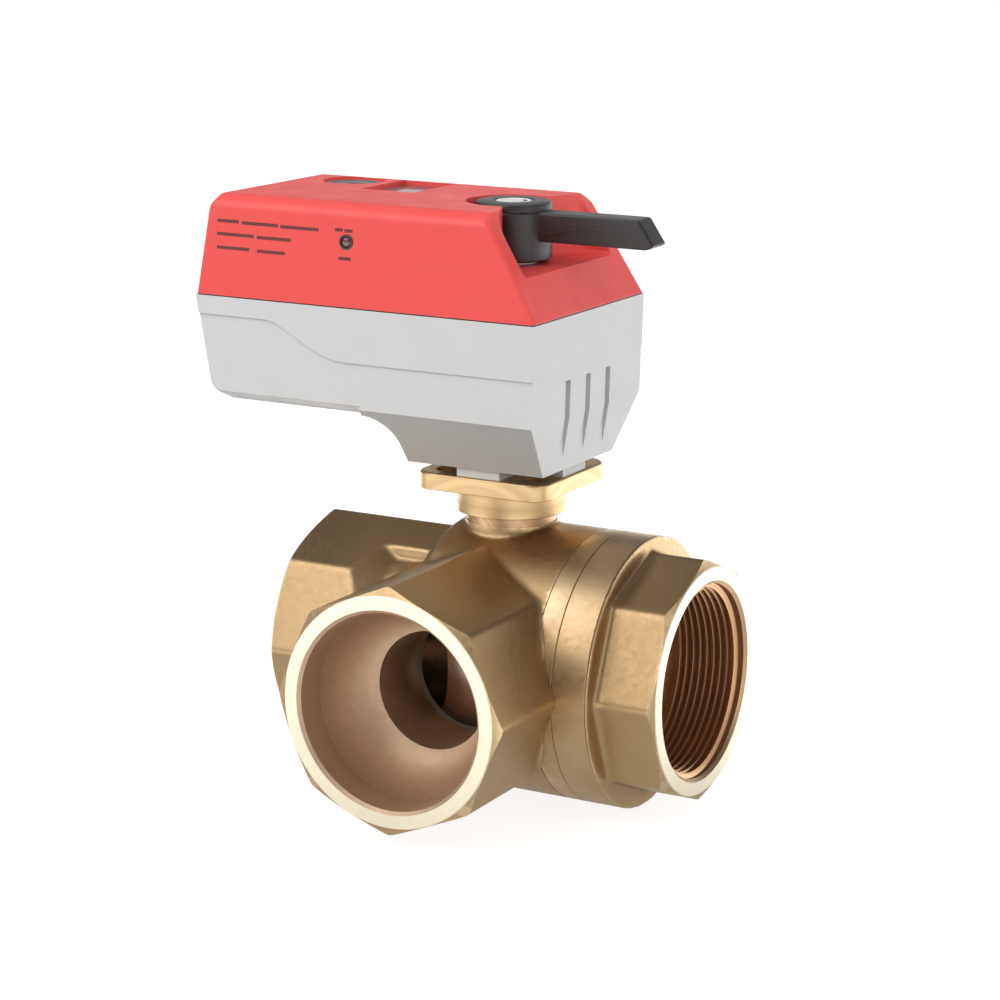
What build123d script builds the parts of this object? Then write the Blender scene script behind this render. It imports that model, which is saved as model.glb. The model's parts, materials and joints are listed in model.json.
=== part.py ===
"""Three-way zone valve: an L-bore ball valve in brass with a geared motor head.

The origin is the centre of the ball, where the line of ports A and B, the
branch AB and the stem meet. +X points out of port B, -X out of port A,
-Y out of the branch AB, and +Z up the stem to the motor head.
Sizes are in millimetres.
"""

from build123d import *
from math import atan2, cos, pi, radians, sin, sqrt, tan
import os

os.makedirs("parts", exist_ok=True)

# ---------------------------------------------------------------- driving sizes
# Ports, G 2 pipe thread
THREAD_R = 29.8
FACE_R = 35.0
ACROSS_FLATS = 70.0
RIDGE_R = 1.2
PORT_A_X = -66.0
PORT_B_X = 67.0
PORT_AB_Y = -75.5
THREAD_LENGTH_A = 24.0
THREAD_LENGTH_B = 24.0
SOCKET_LENGTH_AB = 10.0
RETAINER_R = 29.0
BRANCH_STEP_Y = -45.0
MOUTH_DEPTH = 2.0
BORE_R = 18.2

# Body barrel and the end cap screwed into it
BARREL_R = 41.8
BARREL_LEFT_X = -18.5
BARREL_RIGHT_X = 29.2
CAP_FLANGE_X = 48.0
CAP_SEAM_X = 36.0
CAVITY_R = 31.0
CAVITY_LEFT_X = -21.4
CAVITY_RIGHT_X = 22.0
SPIGOT_R = 35.0
SIDE_POCKET = [(-43.0, 38.0), (-33.0, 31.5), (-21.0, 31.5), (-21.0, 45.0), (-43.0, 45.0)]
SIDE_POCKET_RIB = 13.5

# Ball and seats
BALL_R = 30.0
BALL_BORE_R = 16.8
SEAT_OUTER_R = 21.4
SEAT_NEAR = 21.5
SEAT_FAR = 26.5
RUNNING_GAP = 0.1

# Stem and neck
STEM_R = 7.0
STEM_SHOULDER_R = 9.4
STEM_SQUARE = 9.0
NECK_R = 13.9
NECK_TOP_Z = 45.8
NECK_STUB_R = 11.0
NECK_STUB_TOP_Z = 54.0
GLAND_R = 9.0

# Mounting flange between the valve and the motor head
RING_R = 17.0
PLATE_HALF = 22.3
PLATE_CORNER_R = 6.3
PLATE_BOTTOM_Z = 54.0
PLATE_TOP_Z = 59.3
PLATE_HOLE_R = 2.8
PLATE_HOLE_PCD = 42.0
DOWEL_R = 2.0
DOWEL_X = 15.5

# Motor head casing
FOOT_Z = 62.2
FOOT_HALF_Y = 22.8
FOOT_RIGHT_X = 22.8
BELLY_Z = 77.4
SHOULDER_Z = 80.0
SEAM_Z = 110.0
SEAM_GAP = 0.4
HEAD_LEFT_X = -91.4
HEAD_RIGHT_X = 26.4
HEAD_HALF_Y = 36.3
BAND_STEP = 0.5
WALL = 2.5
TOP_Z = 140.8
TOP_HALF_Y = 29.0
TOP_LEFT_X = -86.7
TOP_RIGHT_X = 8.3

# Lever and its pocket
POCKET_FLOOR_Z = 122.3
POCKET_R = 14.7
LEVER_HUB_R = 11.7
LEVER_HUB_BOTTOM_Z = 123.4
LEVER_HUB_TOP_Z = 141.1
LEVER_ARM_BOTTOM_Z = 129.5
LEVER_ARM_TOP_Z = 138.4
LEVER_ARM_WIDTH = 9.0
DIAL_R = 5.3

# Spindle through the motor head
SLEEVE_R = 9.0
SLEEVE_NECK_R = 7.5
SLEEVE_BOTTOM_Z = 62.6
SLEEVE_STEP_Z = 118.5
SLEEVE_TOP_Z = 131.0
SCREW_R = 2.0
BUSH_R = 11.6

# Gear train: module, teeth and floor level of each mesh
MESH_A_MODULE, SECTOR_TEETH, PINION_2_TEETH = 1.0, 54, 14
MESH_B_MODULE, WHEEL_2_TEETH, PINION_3_TEETH = 0.8, 48, 14
MESH_C_MODULE, WHEEL_3_TEETH, MOTOR_TEETH = 0.6, 50, 14
SECTOR_HALF_DEG = 62.0
LEVEL_A, FACE_A = 87.0, 6.0
LEVEL_B, FACE_B = 94.0, 3.5
LEVEL_C, FACE_C = 98.5, 3.0
BACKLASH = 0.14
AXLE_R = 1.5
AXLE_GAP = 0.05
PLATE_LOW_Z = 82.5
PLATE_HIGH_Z = 103.0
PLATE_T = 1.5
PLATE_LEFT_X, PLATE_RIGHT_X, PLATE_HALF_Y = -77.5, 18.0, 23.5
POST_SPOTS = [(-74.0, 20.5), (-74.0, -20.5), (12.0, 16.0), (12.0, -16.0)]
POST_R = 2.6
MESH_B_ANGLE, MESH_C_ANGLE = 145.75, 216.0
PRESSURE = radians(20)
STOP_RADIUS, STOP_ANGLE, STOP_R = 21.0, 67.0, 2.0
SECTOR_HUB_R = 13.0
MOTOR_R, MOTOR_SHAFT_R = 12.0, 1.2

# Things in the top of the motor head
BUTTON_X, BUTTON_Y, BUTTON_R = -67.9, 18.8, 9.7
BUTTON_TRAVEL = 3.0
BUTTON_TOP_Z = 140.0
CUP_FLOOR_Z = 134.0
WINDOW_LEFT_X, WINDOW_RIGHT_X = -54.6, -35.6
WINDOW_NEAR_Y, WINDOW_FAR_Y = 1.1, 27.5
WINDOW_DEPTH = 1.5
LENS_X, LENS_Z, LENS_R = -38.1, 129.5, 1.7
BOARD_Z, BOARD_T = 112.0, 1.6
COVER_SCREW_SPOTS = [(-78.0, 27.5), (-78.0, -27.5), (-38.5, 27.5), (-38.5, -27.5)]
INLET_Y, INLET_Z, INLET_R = 16.0, 95.0, 3.2

# ---------------------------------------------------------------- small helpers
SPIN_PLANE = {"X": Plane.XY, "Y": Plane.YZ, "Z": Plane.ZX}
SPIN_AXIS = {"X": Axis.X, "Y": Axis.Y, "Z": Axis.Z}


def turned(along, points):
    """A turned piece: (station, radius) points spun round the X, Y or Z axis."""
    with BuildPart() as spun:
        with BuildSketch(SPIN_PLANE[along]):
            with BuildLine():
                Polyline(*points, close=True)
            make_face()
        revolve(axis=SPIN_AXIS[along])
    return spun.part


def tube(z0, z1, outer_r, inner_r, x=0.0, y=0.0):
    """An upright ring from height z0 to z1."""
    with BuildPart() as ring:
        with BuildSketch(Plane.XY.offset(z0)):
            with Locations((x, y)):
                Circle(outer_r)
                if inner_r > 0:
                    Circle(inner_r, mode=Mode.SUBTRACT)
        extrude(amount=z1 - z0)
    return ring.part


def block(x0, x1, y0, y1, z0, z1):
    """A plain block between two corners."""
    with BuildPart() as cuboid:
        with BuildSketch(Plane.XY.offset(z0)):
            with Locations(((x0 + x1) / 2, (y0 + y1) / 2)):
                Rectangle(x1 - x0, y1 - y0)
        extrude(amount=z1 - z0)
    return cuboid.part


def octagon_arm(plane, length):
    """An octagonal arm with its corners up, down and to the sides."""
    corner_r = ACROSS_FLATS / 2 / cos(pi / 8)
    with BuildPart() as arm:
        with BuildSketch(plane):
            RegularPolygon(corner_r, 8)
        extrude(amount=length)
        fillet(arm.edges().filter_by(Axis((0, 0, 0), plane.z_dir)), RIDGE_R)
    return arm.part


def mouth_waste(along, face, inward):
    """What a turning tool takes off an arm's corners, down to the disc at its mouth."""
    far_r = FACE_R + MOUTH_DEPTH / tan(radians(30))
    return turned(along, [(face, FACE_R), (face + inward * MOUTH_DEPTH, far_r),
                          (face + inward * MOUTH_DEPTH, 60), (face - inward, 60),
                          (face - inward, FACE_R)])


# ---------------------------------------------------------------- the brass valve
with BuildPart() as valve_body:
    add(octagon_arm(Plane.YZ.offset(PORT_A_X), BARREL_LEFT_X + 4 - PORT_A_X))
    add(octagon_arm(Plane.XZ.offset(0), -PORT_AB_Y))
    add(mouth_waste("X", PORT_A_X, 1), mode=Mode.SUBTRACT)
    add(mouth_waste("Y", PORT_AB_Y, 1), mode=Mode.SUBTRACT)
    # pockets left in the casting beside port A, on both sides of its top and bottom ribs
    side_pockets = turned("X", SIDE_POCKET) - block(-50, 0, -SIDE_POCKET_RIB, SIDE_POCKET_RIB, -50, 50)
    add(side_pockets, mode=Mode.SUBTRACT)
    add(turned("X", [(BARREL_LEFT_X, 0), (BARREL_LEFT_X, BARREL_R - 4),
                     (BARREL_LEFT_X + 1.2, BARREL_R - 1.2), (BARREL_LEFT_X + 4, BARREL_R),
                     (BARREL_RIGHT_X, BARREL_R), (BARREL_RIGHT_X, 0)]))
    add(tube(30, NECK_TOP_Z, NECK_R, 0))
    add(tube(NECK_TOP_Z - 1, NECK_STUB_TOP_Z, NECK_STUB_R, 0))
    # the branch arm is wider than the barrel is long, so it is relieved round the end cap
    add(turned("X", [(BARREL_RIGHT_X, 0), (BARREL_RIGHT_X, BARREL_R + 0.15), (60, BARREL_R + 0.15),
                     (60, 0)]), mode=Mode.SUBTRACT)
    # one long turned cut: thread A, bore, seat pocket, ball chamber and end cap socket
    add(turned("X", [(PORT_A_X - 1, 0), (PORT_A_X - 1, THREAD_R),
                     (PORT_A_X + THREAD_LENGTH_A, THREAD_R), (PORT_A_X + THREAD_LENGTH_A + 3, BORE_R),
                     (-SEAT_FAR - 0.1, BORE_R), (-SEAT_FAR - 0.1, SEAT_OUTER_R + 0.1),
                     (CAVITY_LEFT_X, SEAT_OUTER_R + 0.1), (CAVITY_LEFT_X, CAVITY_R),
                     (CAVITY_RIGHT_X, CAVITY_R), (CAVITY_RIGHT_X, SPIGOT_R),
                     (BARREL_RIGHT_X + 1, SPIGOT_R), (BARREL_RIGHT_X + 1, 0)]),
        mode=Mode.SUBTRACT)
    # the branch: socket for the pipe and the retainer, then the hole for its nose and seat
    add(turned("Y", [(PORT_AB_Y - 1, 0), (PORT_AB_Y - 1, THREAD_R),
                     (PORT_AB_Y + SOCKET_LENGTH_AB, THREAD_R),
                     (PORT_AB_Y + SOCKET_LENGTH_AB, RETAINER_R + 0.05),
                     (BRANCH_STEP_Y, RETAINER_R + 0.05), (BRANCH_STEP_Y, SEAT_OUTER_R + 0.1),
                     (-15, SEAT_OUTER_R + 0.1), (-15, 0)]),
        mode=Mode.SUBTRACT)
    # the stem bore, its shoulder recess below and the packing chamber above
    add(turned("Z", [(20, 0), (20, STEM_SHOULDER_R + 0.2), (35.3, STEM_SHOULDER_R + 0.2),
                     (35.3, STEM_R + 0.05), (47, STEM_R + 0.05), (47, GLAND_R + 0.02),
                     (NECK_STUB_TOP_Z + 1, GLAND_R + 0.02), (NECK_STUB_TOP_Z + 1, 0)]),
        mode=Mode.SUBTRACT)
valve_body.part.label = "valve_body"
export_step(valve_body.part, "parts/valve_body.step")

OCTAGON_START_X = CAP_FLANGE_X - 2
with BuildPart() as end_cap:
    add(octagon_arm(Plane.YZ.offset(OCTAGON_START_X), PORT_B_X - OCTAGON_START_X))
    add(mouth_waste("X", PORT_B_X, -1), mode=Mode.SUBTRACT)
    add(turned("X", [(CAVITY_RIGHT_X + 0.1, 0), (CAVITY_RIGHT_X + 0.1, SPIGOT_R - 0.05),
                     (24.4, SPIGOT_R - 0.05), (24.4, SPIGOT_R - 1.6), (26.8, SPIGOT_R - 1.6),
                     (26.8, SPIGOT_R - 0.05), (BARREL_RIGHT_X, SPIGOT_R - 0.05),
                     (BARREL_RIGHT_X, BARREL_R), (CAP_SEAM_X - 0.2, BARREL_R),
                     (CAP_SEAM_X, BARREL_R - 0.3), (CAP_SEAM_X + 0.2, BARREL_R),
                     (CAP_FLANGE_X - 0.6, BARREL_R), (CAP_FLANGE_X, BARREL_R - 0.6),
                     (CAP_FLANGE_X, 0)]))
    add(turned("X", [(CAVITY_RIGHT_X - 1, 0), (CAVITY_RIGHT_X - 1, SEAT_OUTER_R + 0.1),
                     (SEAT_FAR + 0.1, SEAT_OUTER_R + 0.1), (SEAT_FAR + 0.1, BORE_R),
                     (PORT_B_X - THREAD_LENGTH_B - 3, BORE_R), (PORT_B_X - THREAD_LENGTH_B, THREAD_R),
                     (PORT_B_X + 1, THREAD_R), (PORT_B_X + 1, 0)]),
        mode=Mode.SUBTRACT)
end_cap.part.label = "end_cap"
export_step(end_cap.part, "parts/end_cap.step")

with BuildPart() as end_cap_oring:
    with BuildSketch(Plane.XY):
        with Locations((25.6, SPIGOT_R - 0.85)):
            Circle(0.7)
    revolve(axis=Axis.X)
end_cap_oring.part.label = "end_cap_oring"
export_step(end_cap_oring.part, "parts/end_cap_oring.step")

# The retainer screws into the branch and pushes its seat against the ball.
# Its mouth is a bowl that leads the water from the socket down to the bore.
RETAINER_FRONT_Y = PORT_AB_Y + SOCKET_LENGTH_AB
BOWL_END_Y = -49.0
BOWL_LIP = 0.3
with BuildPart() as branch_retainer:
    with BuildSketch(Plane.YZ):
        with BuildLine():
            Polyline((BOWL_END_Y, BORE_R), (-SEAT_FAR - 0.05, BORE_R), (-SEAT_FAR - 0.05, SEAT_OUTER_R),
                     (BRANCH_STEP_Y - 0.05, SEAT_OUTER_R), (BRANCH_STEP_Y - 0.05, RETAINER_R),
                     (RETAINER_FRONT_Y, RETAINER_R), (RETAINER_FRONT_Y, RETAINER_R - BOWL_LIP))
            EllipticalCenterArc((RETAINER_FRONT_Y, BORE_R), BOWL_END_Y - RETAINER_FRONT_Y,
                                RETAINER_R - BOWL_LIP - BORE_R, start_angle=0, arc_size=90)
        make_face()
    revolve(axis=Axis.Y)
branch_retainer.part.label = "branch_retainer"
export_step(branch_retainer.part, "parts/branch_retainer.step")

with BuildPart() as ball:
    Sphere(BALL_R)
    Sphere(BALL_BORE_R, mode=Mode.SUBTRACT)
    for leg_angle in (-135, -45):
        leg_plane = Plane(origin=(0, 0, 0), z_dir=(cos(radians(leg_angle)), sin(radians(leg_angle)), 0))
        with BuildSketch(leg_plane):
            Circle(BALL_BORE_R)
        extrude(amount=BALL_R + 1, mode=Mode.SUBTRACT)
    add(block(-4.1, 4.1, -BALL_R, BALL_R, 22.4, BALL_R + 1), mode=Mode.SUBTRACT)
ball.part.label = "ball"
export_step(ball.part, "parts/ball.step")


def seat_ring(along, way):
    """A seat on the X or Y side of the ball: a plastic ring hollowed to the ball's radius."""
    hollow_r = BALL_R + RUNNING_GAP

    def on_hollow(radius):
        return (way * sqrt(hollow_r ** 2 - radius ** 2), radius)

    lip_r = sqrt(hollow_r ** 2 - SEAT_NEAR ** 2)
    with BuildPart() as ring:
        with BuildSketch(SPIN_PLANE[along]):
            with BuildLine():
                ThreePointArc(on_hollow(BORE_R), on_hollow((BORE_R + lip_r) / 2), on_hollow(lip_r))
                Polyline(on_hollow(lip_r), (way * SEAT_NEAR, SEAT_OUTER_R), (way * SEAT_FAR, SEAT_OUTER_R),
                         (way * SEAT_FAR, BORE_R), on_hollow(BORE_R))
            make_face()
        revolve(axis=SPIN_AXIS[along])
    return ring.part


with BuildPart() as seat_a:
    add(seat_ring("X", -1))
seat_a.part.label = "seat_a"
export_step(seat_a.part, "parts/seat_a.step")

with BuildPart() as seat_b:
    add(seat_ring("X", 1))
seat_b.part.label = "seat_b"
export_step(seat_b.part, "parts/seat_b.step")

with BuildPart() as seat_branch:
    add(seat_ring("Y", -1))
seat_branch.part.label = "seat_branch"
export_step(seat_branch.part, "parts/seat_branch.step")

# ---------------------------------------------------------------- stem and gland
STEM_SHAFT_TOP_Z = 59.0
STEM_TOP_Z = 73.0
ORING_Z = [38.8, 43.4]
with BuildPart() as stem:
    add(block(-4.0, 4.0, -8.0, 8.0, 22.6, 30.8))
    add(tube(30.6, 33.9, STEM_SHOULDER_R, 0))
    add(tube(33.8, STEM_SHAFT_TOP_Z, STEM_R, 0))
    for groove_z in ORING_Z:
        add(tube(groove_z - 1.1, groove_z + 1.1, STEM_R + 1, STEM_R - 1.8), mode=Mode.SUBTRACT)
    add(block(-STEM_SQUARE / 2, STEM_SQUARE / 2, -STEM_SQUARE / 2, STEM_SQUARE / 2,
              STEM_SHAFT_TOP_Z - 0.1, STEM_TOP_Z))
    add(tube(60.5, STEM_TOP_Z + 1, SCREW_R + 0.02, 0), mode=Mode.SUBTRACT)
stem.part.label = "stem"
export_step(stem.part, "parts/stem.step")

with BuildPart() as stem_orings:
    with BuildSketch(Plane.XZ):
        with Locations(*[(STEM_R - 0.9, z) for z in ORING_Z]):
            Circle(0.85)
    revolve(axis=Axis.Z)
stem_orings.part.label = "stem_orings"
export_step(stem_orings.part, "parts/stem_orings.step")

with BuildPart() as thrust_washer:
    add(tube(34.0, 35.2, STEM_SHOULDER_R, STEM_R + 0.08))
thrust_washer.part.label = "thrust_washer"
export_step(thrust_washer.part, "parts/thrust_washer.step")

with BuildPart() as stem_packing:
    add(tube(47.05, 50.5, GLAND_R, STEM_R + 0.05))
stem_packing.part.label = "stem_packing"
export_step(stem_packing.part, "parts/stem_packing.step")

with BuildPart() as gland_nut:
    add(tube(50.55, NECK_STUB_TOP_Z, GLAND_R, 0))
    with BuildSketch(Plane.XY.offset(NECK_STUB_TOP_Z)):
        RegularPolygon(9.0, 6, major_radius=False)
    extrude(amount=3.5)
    add(tube(50, 60, STEM_R + 0.05, 0), mode=Mode.SUBTRACT)
gland_nut.part.label = "gland_nut"
export_step(gland_nut.part, "parts/gland_nut.step")

# ---------------------------------------------------------------- mounting flange
with BuildPart() as mounting_flange:
    with BuildSketch(Plane.XY.offset(PLATE_BOTTOM_Z)):
        RectangleRounded(2 * PLATE_HALF, 2 * PLATE_HALF, PLATE_CORNER_R)
        with PolarLocations(PLATE_HOLE_PCD / 2, 4, 45):
            Circle(PLATE_HOLE_R, mode=Mode.SUBTRACT)
    extrude(amount=PLATE_TOP_Z - PLATE_BOTTOM_Z)
    chamfer(mounting_flange.edges().group_by(Axis.Z)[-1].filter_by(GeomType.LINE), 0.5)
    add(tube(NECK_TOP_Z + 0.05, PLATE_BOTTOM_Z, RING_R, 0))
    add(tube(NECK_TOP_Z, PLATE_TOP_Z + 1, NECK_STUB_R + 0.02, 0), mode=Mode.SUBTRACT)
    for side in (-1, 1):
        add(tube(55.3, PLATE_TOP_Z + 1, DOWEL_R + 0.01, 0, side * DOWEL_X), mode=Mode.SUBTRACT)
mounting_flange.part.label = "mounting_flange"
export_step(mounting_flange.part, "parts/mounting_flange.step")

with BuildPart() as foot_cross:
    with BuildSketch(Plane.XY.offset(PLATE_TOP_Z)):
        Rectangle(2 * 21.5, 2 * 7.3)
        Rectangle(2 * 7.3, 2 * 21.5)
        Circle(14.0)
        Circle(NECK_STUB_R, mode=Mode.SUBTRACT)
        with Locations((DOWEL_X, 0), (-DOWEL_X, 0)):
            Circle(DOWEL_R + 0.01, mode=Mode.SUBTRACT)
    extrude(amount=FOOT_Z - PLATE_TOP_Z)
foot_cross.part.label = "foot_cross"
export_step(foot_cross.part, "parts/foot_cross.step")

with BuildPart() as locating_dowels:
    for side in (-1, 1):
        add(tube(55.4, 66.0, DOWEL_R, 0, side * DOWEL_X))
locating_dowels.part.label = "locating_dowels"
export_step(locating_dowels.part, "parts/locating_dowels.step")

# ---------------------------------------------------------------- lower housing
CURVE_R = 9.4
CURVE_X = -33.0
FOOT_FLOOR = 4.3


def belly_outline(inset, floor_inset, top_z):
    """The side view of the lower housing, moved inwards by inset, as one face."""
    rise = 109.6
    with BuildSketch(Plane.XZ) as face:
        with BuildLine():
            Polyline((HEAD_LEFT_X + inset, top_z), (HEAD_LEFT_X + inset, rise),
                     (-86.5 + inset, 82.7), (-82.3 + inset, BELLY_Z + inset),
                     (CURVE_X, BELLY_Z + inset))
            ThreePointArc((CURVE_X, BELLY_Z + inset),
                          (CURVE_X + (CURVE_R + inset) * sin(pi / 4),
                           BELLY_Z - CURVE_R + (CURVE_R + inset) * cos(pi / 4)),
                          (CURVE_X + CURVE_R + inset, BELLY_Z - CURVE_R))
            Polyline((CURVE_X + CURVE_R + inset, BELLY_Z - CURVE_R),
                     (CURVE_X + CURVE_R + inset, FOOT_Z + floor_inset),
                     (FOOT_RIGHT_X - inset, FOOT_Z + floor_inset), (25.7 - inset, 79.4),
                     (HEAD_RIGHT_X - inset, rise), (HEAD_RIGHT_X - inset, top_z),
                     (HEAD_LEFT_X + inset, top_z))
        make_face()
    return face.sketch


def casing_shape(inset, floor_inset, top_z):
    """The lower housing as a solid, with every wall moved inwards by inset."""
    half = HEAD_HALF_Y - BAND_STEP - inset
    lean = (HEAD_HALF_Y - FOOT_HALF_Y) / (SHOULDER_Z - FOOT_Z)
    foot_half = FOOT_HALF_Y - inset * sqrt(1 + lean ** 2)
    with BuildPart() as shape:
        extrude(belly_outline(inset, floor_inset, top_z), amount=60, both=True)
        with BuildSketch(Plane.YZ.offset(-100)):
            with BuildLine():
                Polyline((-half, 120), (-half, FOOT_Z + (half - foot_half) / lean),
                         (-foot_half, FOOT_Z), (foot_half, FOOT_Z),
                         (half, FOOT_Z + (half - foot_half) / lean), (half, 120), close=True)
            make_face()
        extrude(amount=200, mode=Mode.INTERSECT)
        # the long bottom edges of the belly are bevelled
        for side in (-1, 1):
            with BuildSketch(Plane.YZ.offset(-100)):
                with BuildLine():
                    Polyline((side * 30.6, BELLY_Z + inset), (side * half, 80.5 + inset),
                             (side * 60, 80.5 + inset), (side * 60, 50), (side * 30.6, 50), close=True)
                make_face()
            extrude(amount=100 + CURVE_X, mode=Mode.SUBTRACT)
    return shape.part


HOUSING_TOP_Z = SEAM_Z - SEAM_GAP / 2
COVER_BOTTOM_Z = SEAM_Z + SEAM_GAP / 2


def side_band():
    """The raised upper band of the lower housing; its lower edge steps down towards port B."""
    with BuildSketch(Plane.XZ) as face:
        with BuildLine():
            Line((-92, HOUSING_TOP_Z), (-92, 104.1))
            Line((-92, 104.1), (-67, 104.1))
            Spline((-67, 104.1), (-59, 101.6), (-45, 94.6), (-36, 93.4), tangents=[(1, 0), (1, 0)])
            Line((-36, 93.4), (30, 93.4))
            Line((30, 93.4), (30, HOUSING_TOP_Z))
            Line((30, HOUSING_TOP_Z), (-92, HOUSING_TOP_Z))
        make_face()
    return face.sketch


with BuildPart() as lower_housing:
    add(casing_shape(0, 0, HOUSING_TOP_Z))
    # raised bands on both long sides
    band = extrude(side_band(), amount=HEAD_HALF_Y, both=True, mode=Mode.PRIVATE)
    band = band & extrude(belly_outline(0, 0, HOUSING_TOP_Z), amount=60, both=True, mode=Mode.PRIVATE)
    add(band)
    add(casing_shape(WALL, FOOT_FLOOR, HOUSING_TOP_Z + 5), mode=Mode.SUBTRACT)
    # three finger grooves on the end face, deep at the top and running out below
    for groove_y in (-13.1, 0, 13.1):
        with BuildSketch(Plane.XZ.offset(-groove_y)):
            with BuildLine():
                Polyline((24.1, 90.4), (30, 90.4), (30, 64), (23.5, 64), close=True)
            make_face()
        extrude(amount=1.55, both=True, mode=Mode.SUBTRACT)
    # bosses inside: under the gear plates, round the cover screws, and the spindle bush seat
    for boss_x, boss_y in POST_SPOTS:
        boss_floor = BELLY_Z + 1 if boss_x < 0 else FOOT_Z + FOOT_FLOOR - 1
        add(tube(boss_floor, PLATE_LOW_Z, 3.4, 0, boss_x, boss_y))
        add(tube(BELLY_Z + 1.2, PLATE_LOW_Z + 1, 1.22, 0, boss_x, boss_y), mode=Mode.SUBTRACT)
    for boss_x, boss_y in COVER_SCREW_SPOTS:
        add(tube(BELLY_Z + 1, HOUSING_TOP_Z - 0.4, 3.4, 0, boss_x, boss_y))
        add(tube(70, SEAM_Z + 1, 1.7, 0, boss_x, boss_y), mode=Mode.SUBTRACT)
        add(tube(70, 80.4, 3.2, 0, boss_x, boss_y), mode=Mode.SUBTRACT)
    add(tube(FOOT_Z - 1, FOOT_Z + 20, BUSH_R + 0.02, 0), mode=Mode.SUBTRACT)
    for side in (-1, 1):
        add(tube(FOOT_Z - 1, 66.2, DOWEL_R + 0.01, 0, side * DOWEL_X), mode=Mode.SUBTRACT)
    # the cable inlet in the end wall
    with BuildSketch(Plane.YZ.offset(-100)):
        with Locations((INLET_Y, INLET_Z)):
            Circle(5.52)
    extrude(amount=20, mode=Mode.SUBTRACT)
lower_housing.part.label = "lower_housing"
export_step(lower_housing.part, "parts/lower_housing.step")


# ---------------------------------------------------------------- upper cover
COVER_EAVE_Z = 138.6
COVER_EAVE_HALF_Y = 33.3
END_SLOPE = (HEAD_RIGHT_X - TOP_RIGHT_X) / (TOP_Z - SEAM_Z)


def cover_shape(inset):
    """The outer form of the upper cover as a solid, with walls moved inwards by inset."""
    top = TOP_Z - inset
    slant = inset * sqrt(1 + END_SLOPE ** 2)
    with BuildPart() as shape:
        with BuildSketch(Plane.XZ):
            with BuildLine():
                Polyline((HEAD_LEFT_X + inset, COVER_BOTTOM_Z), (-88.4 + inset, 136.0),
                         (TOP_LEFT_X + inset, top),
                         (HEAD_RIGHT_X - slant - END_SLOPE * (top - SEAM_Z), top),
                         (HEAD_RIGHT_X - slant, COVER_BOTTOM_Z), close=True)
            make_face()
        extrude(amount=60, both=True)
        with BuildSketch(Plane.YZ.offset(-100)):
            with BuildLine():
                Polyline((-HEAD_HALF_Y + inset, COVER_BOTTOM_Z),
                         (-COVER_EAVE_HALF_Y + inset, COVER_EAVE_Z - inset),
                         (-TOP_HALF_Y + inset / 2, top), (TOP_HALF_Y - inset / 2, top),
                         (COVER_EAVE_HALF_Y - inset, COVER_EAVE_Z - inset),
                         (HEAD_HALF_Y - inset, COVER_BOTTOM_Z), close=True)
            make_face()
        extrude(amount=200, mode=Mode.INTERSECT)
    return shape.part


def lever_pocket(grow, floor_z):
    """The fan-shaped pocket that the hand lever sweeps in, made larger by grow."""
    radius = POCKET_R + grow
    flare_angle = radians(75)
    side = 28.1 + grow
    with BuildPart() as pocket:
        with BuildSketch(Plane.XY.offset(floor_z)):
            with BuildLine():
                arc_end = (radius * cos(flare_angle), radius * sin(flare_angle))
                ThreePointArc(arc_end, (-radius, 0), (arc_end[0], -arc_end[1]))
                Polyline((arc_end[0], -arc_end[1]), (10 - grow, -side), (40, -side), (40, side),
                         (10 - grow, side), arc_end)
            make_face()
        extrude(amount=30)
    return pocket.part


PANEL_TOP_Z = TOP_Z - WINDOW_DEPTH
CUP_R = BUTTON_R + 0.3
POCKET_WALL = 2.3
COVER_BOSS_TOP_Z = 124.0
LENS_Y = -(HEAD_HALF_Y - (LENS_Z - SEAM_Z) * (HEAD_HALF_Y - COVER_EAVE_HALF_Y) / (COVER_EAVE_Z - SEAM_Z))
with BuildPart() as upper_cover:
    add(cover_shape(0))
    add(cover_shape(WALL), mode=Mode.SUBTRACT)
    pocket_walls = lever_pocket(POCKET_WALL, POCKET_FLOOR_Z - POCKET_WALL) & cover_shape(0)
    add(pocket_walls)
    add(lever_pocket(0, POCKET_FLOOR_Z), mode=Mode.SUBTRACT)
    add(tube(POCKET_FLOOR_Z - 5, POCKET_FLOOR_Z + 1, SLEEVE_NECK_R + 0.35, 0), mode=Mode.SUBTRACT)
    # cup for the release button, with a guide hole for its plunger
    add(tube(CUP_FLOOR_Z - 2, TOP_Z, CUP_R + 2, 0, BUTTON_X, BUTTON_Y) & cover_shape(0))
    add(tube(CUP_FLOOR_Z, TOP_Z + 1, CUP_R, 0, BUTTON_X, BUTTON_Y), mode=Mode.SUBTRACT)
    add(tube(CUP_FLOOR_Z - 3, CUP_FLOOR_Z + 1, 3.3, 0, BUTTON_X, BUTTON_Y), mode=Mode.SUBTRACT)
    # opening for the service window
    add(block(WINDOW_LEFT_X, WINDOW_RIGHT_X, WINDOW_NEAR_Y, WINDOW_FAR_Y + 0.5, 130, TOP_Z + 1),
        mode=Mode.SUBTRACT)
    # bosses for the cover screws, each tied to the long side wall by a rib
    for boss_x, boss_y in COVER_SCREW_SPOTS:
        side = 1 if boss_y > 0 else -1
        add(tube(COVER_BOTTOM_Z, COVER_BOSS_TOP_Z, 3.4, 0, boss_x, boss_y))
        wall_y = side * 33.5
        add(block(boss_x - 1, boss_x + 1, min(boss_y + side * 2.5, wall_y), max(boss_y + side * 2.5, wall_y),
                  COVER_BOTTOM_Z, COVER_BOSS_TOP_Z))
        add(tube(COVER_BOTTOM_Z - 1, COVER_BOSS_TOP_Z - 3, 1.52, 0, boss_x, boss_y), mode=Mode.SUBTRACT)
    # hole for the status lens
    with BuildSketch(Plane.XZ.offset(20)):
        with Locations((LENS_X, LENS_Z)):
            Circle(LENS_R + 0.05)
    extrude(amount=30, mode=Mode.SUBTRACT)
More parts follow.
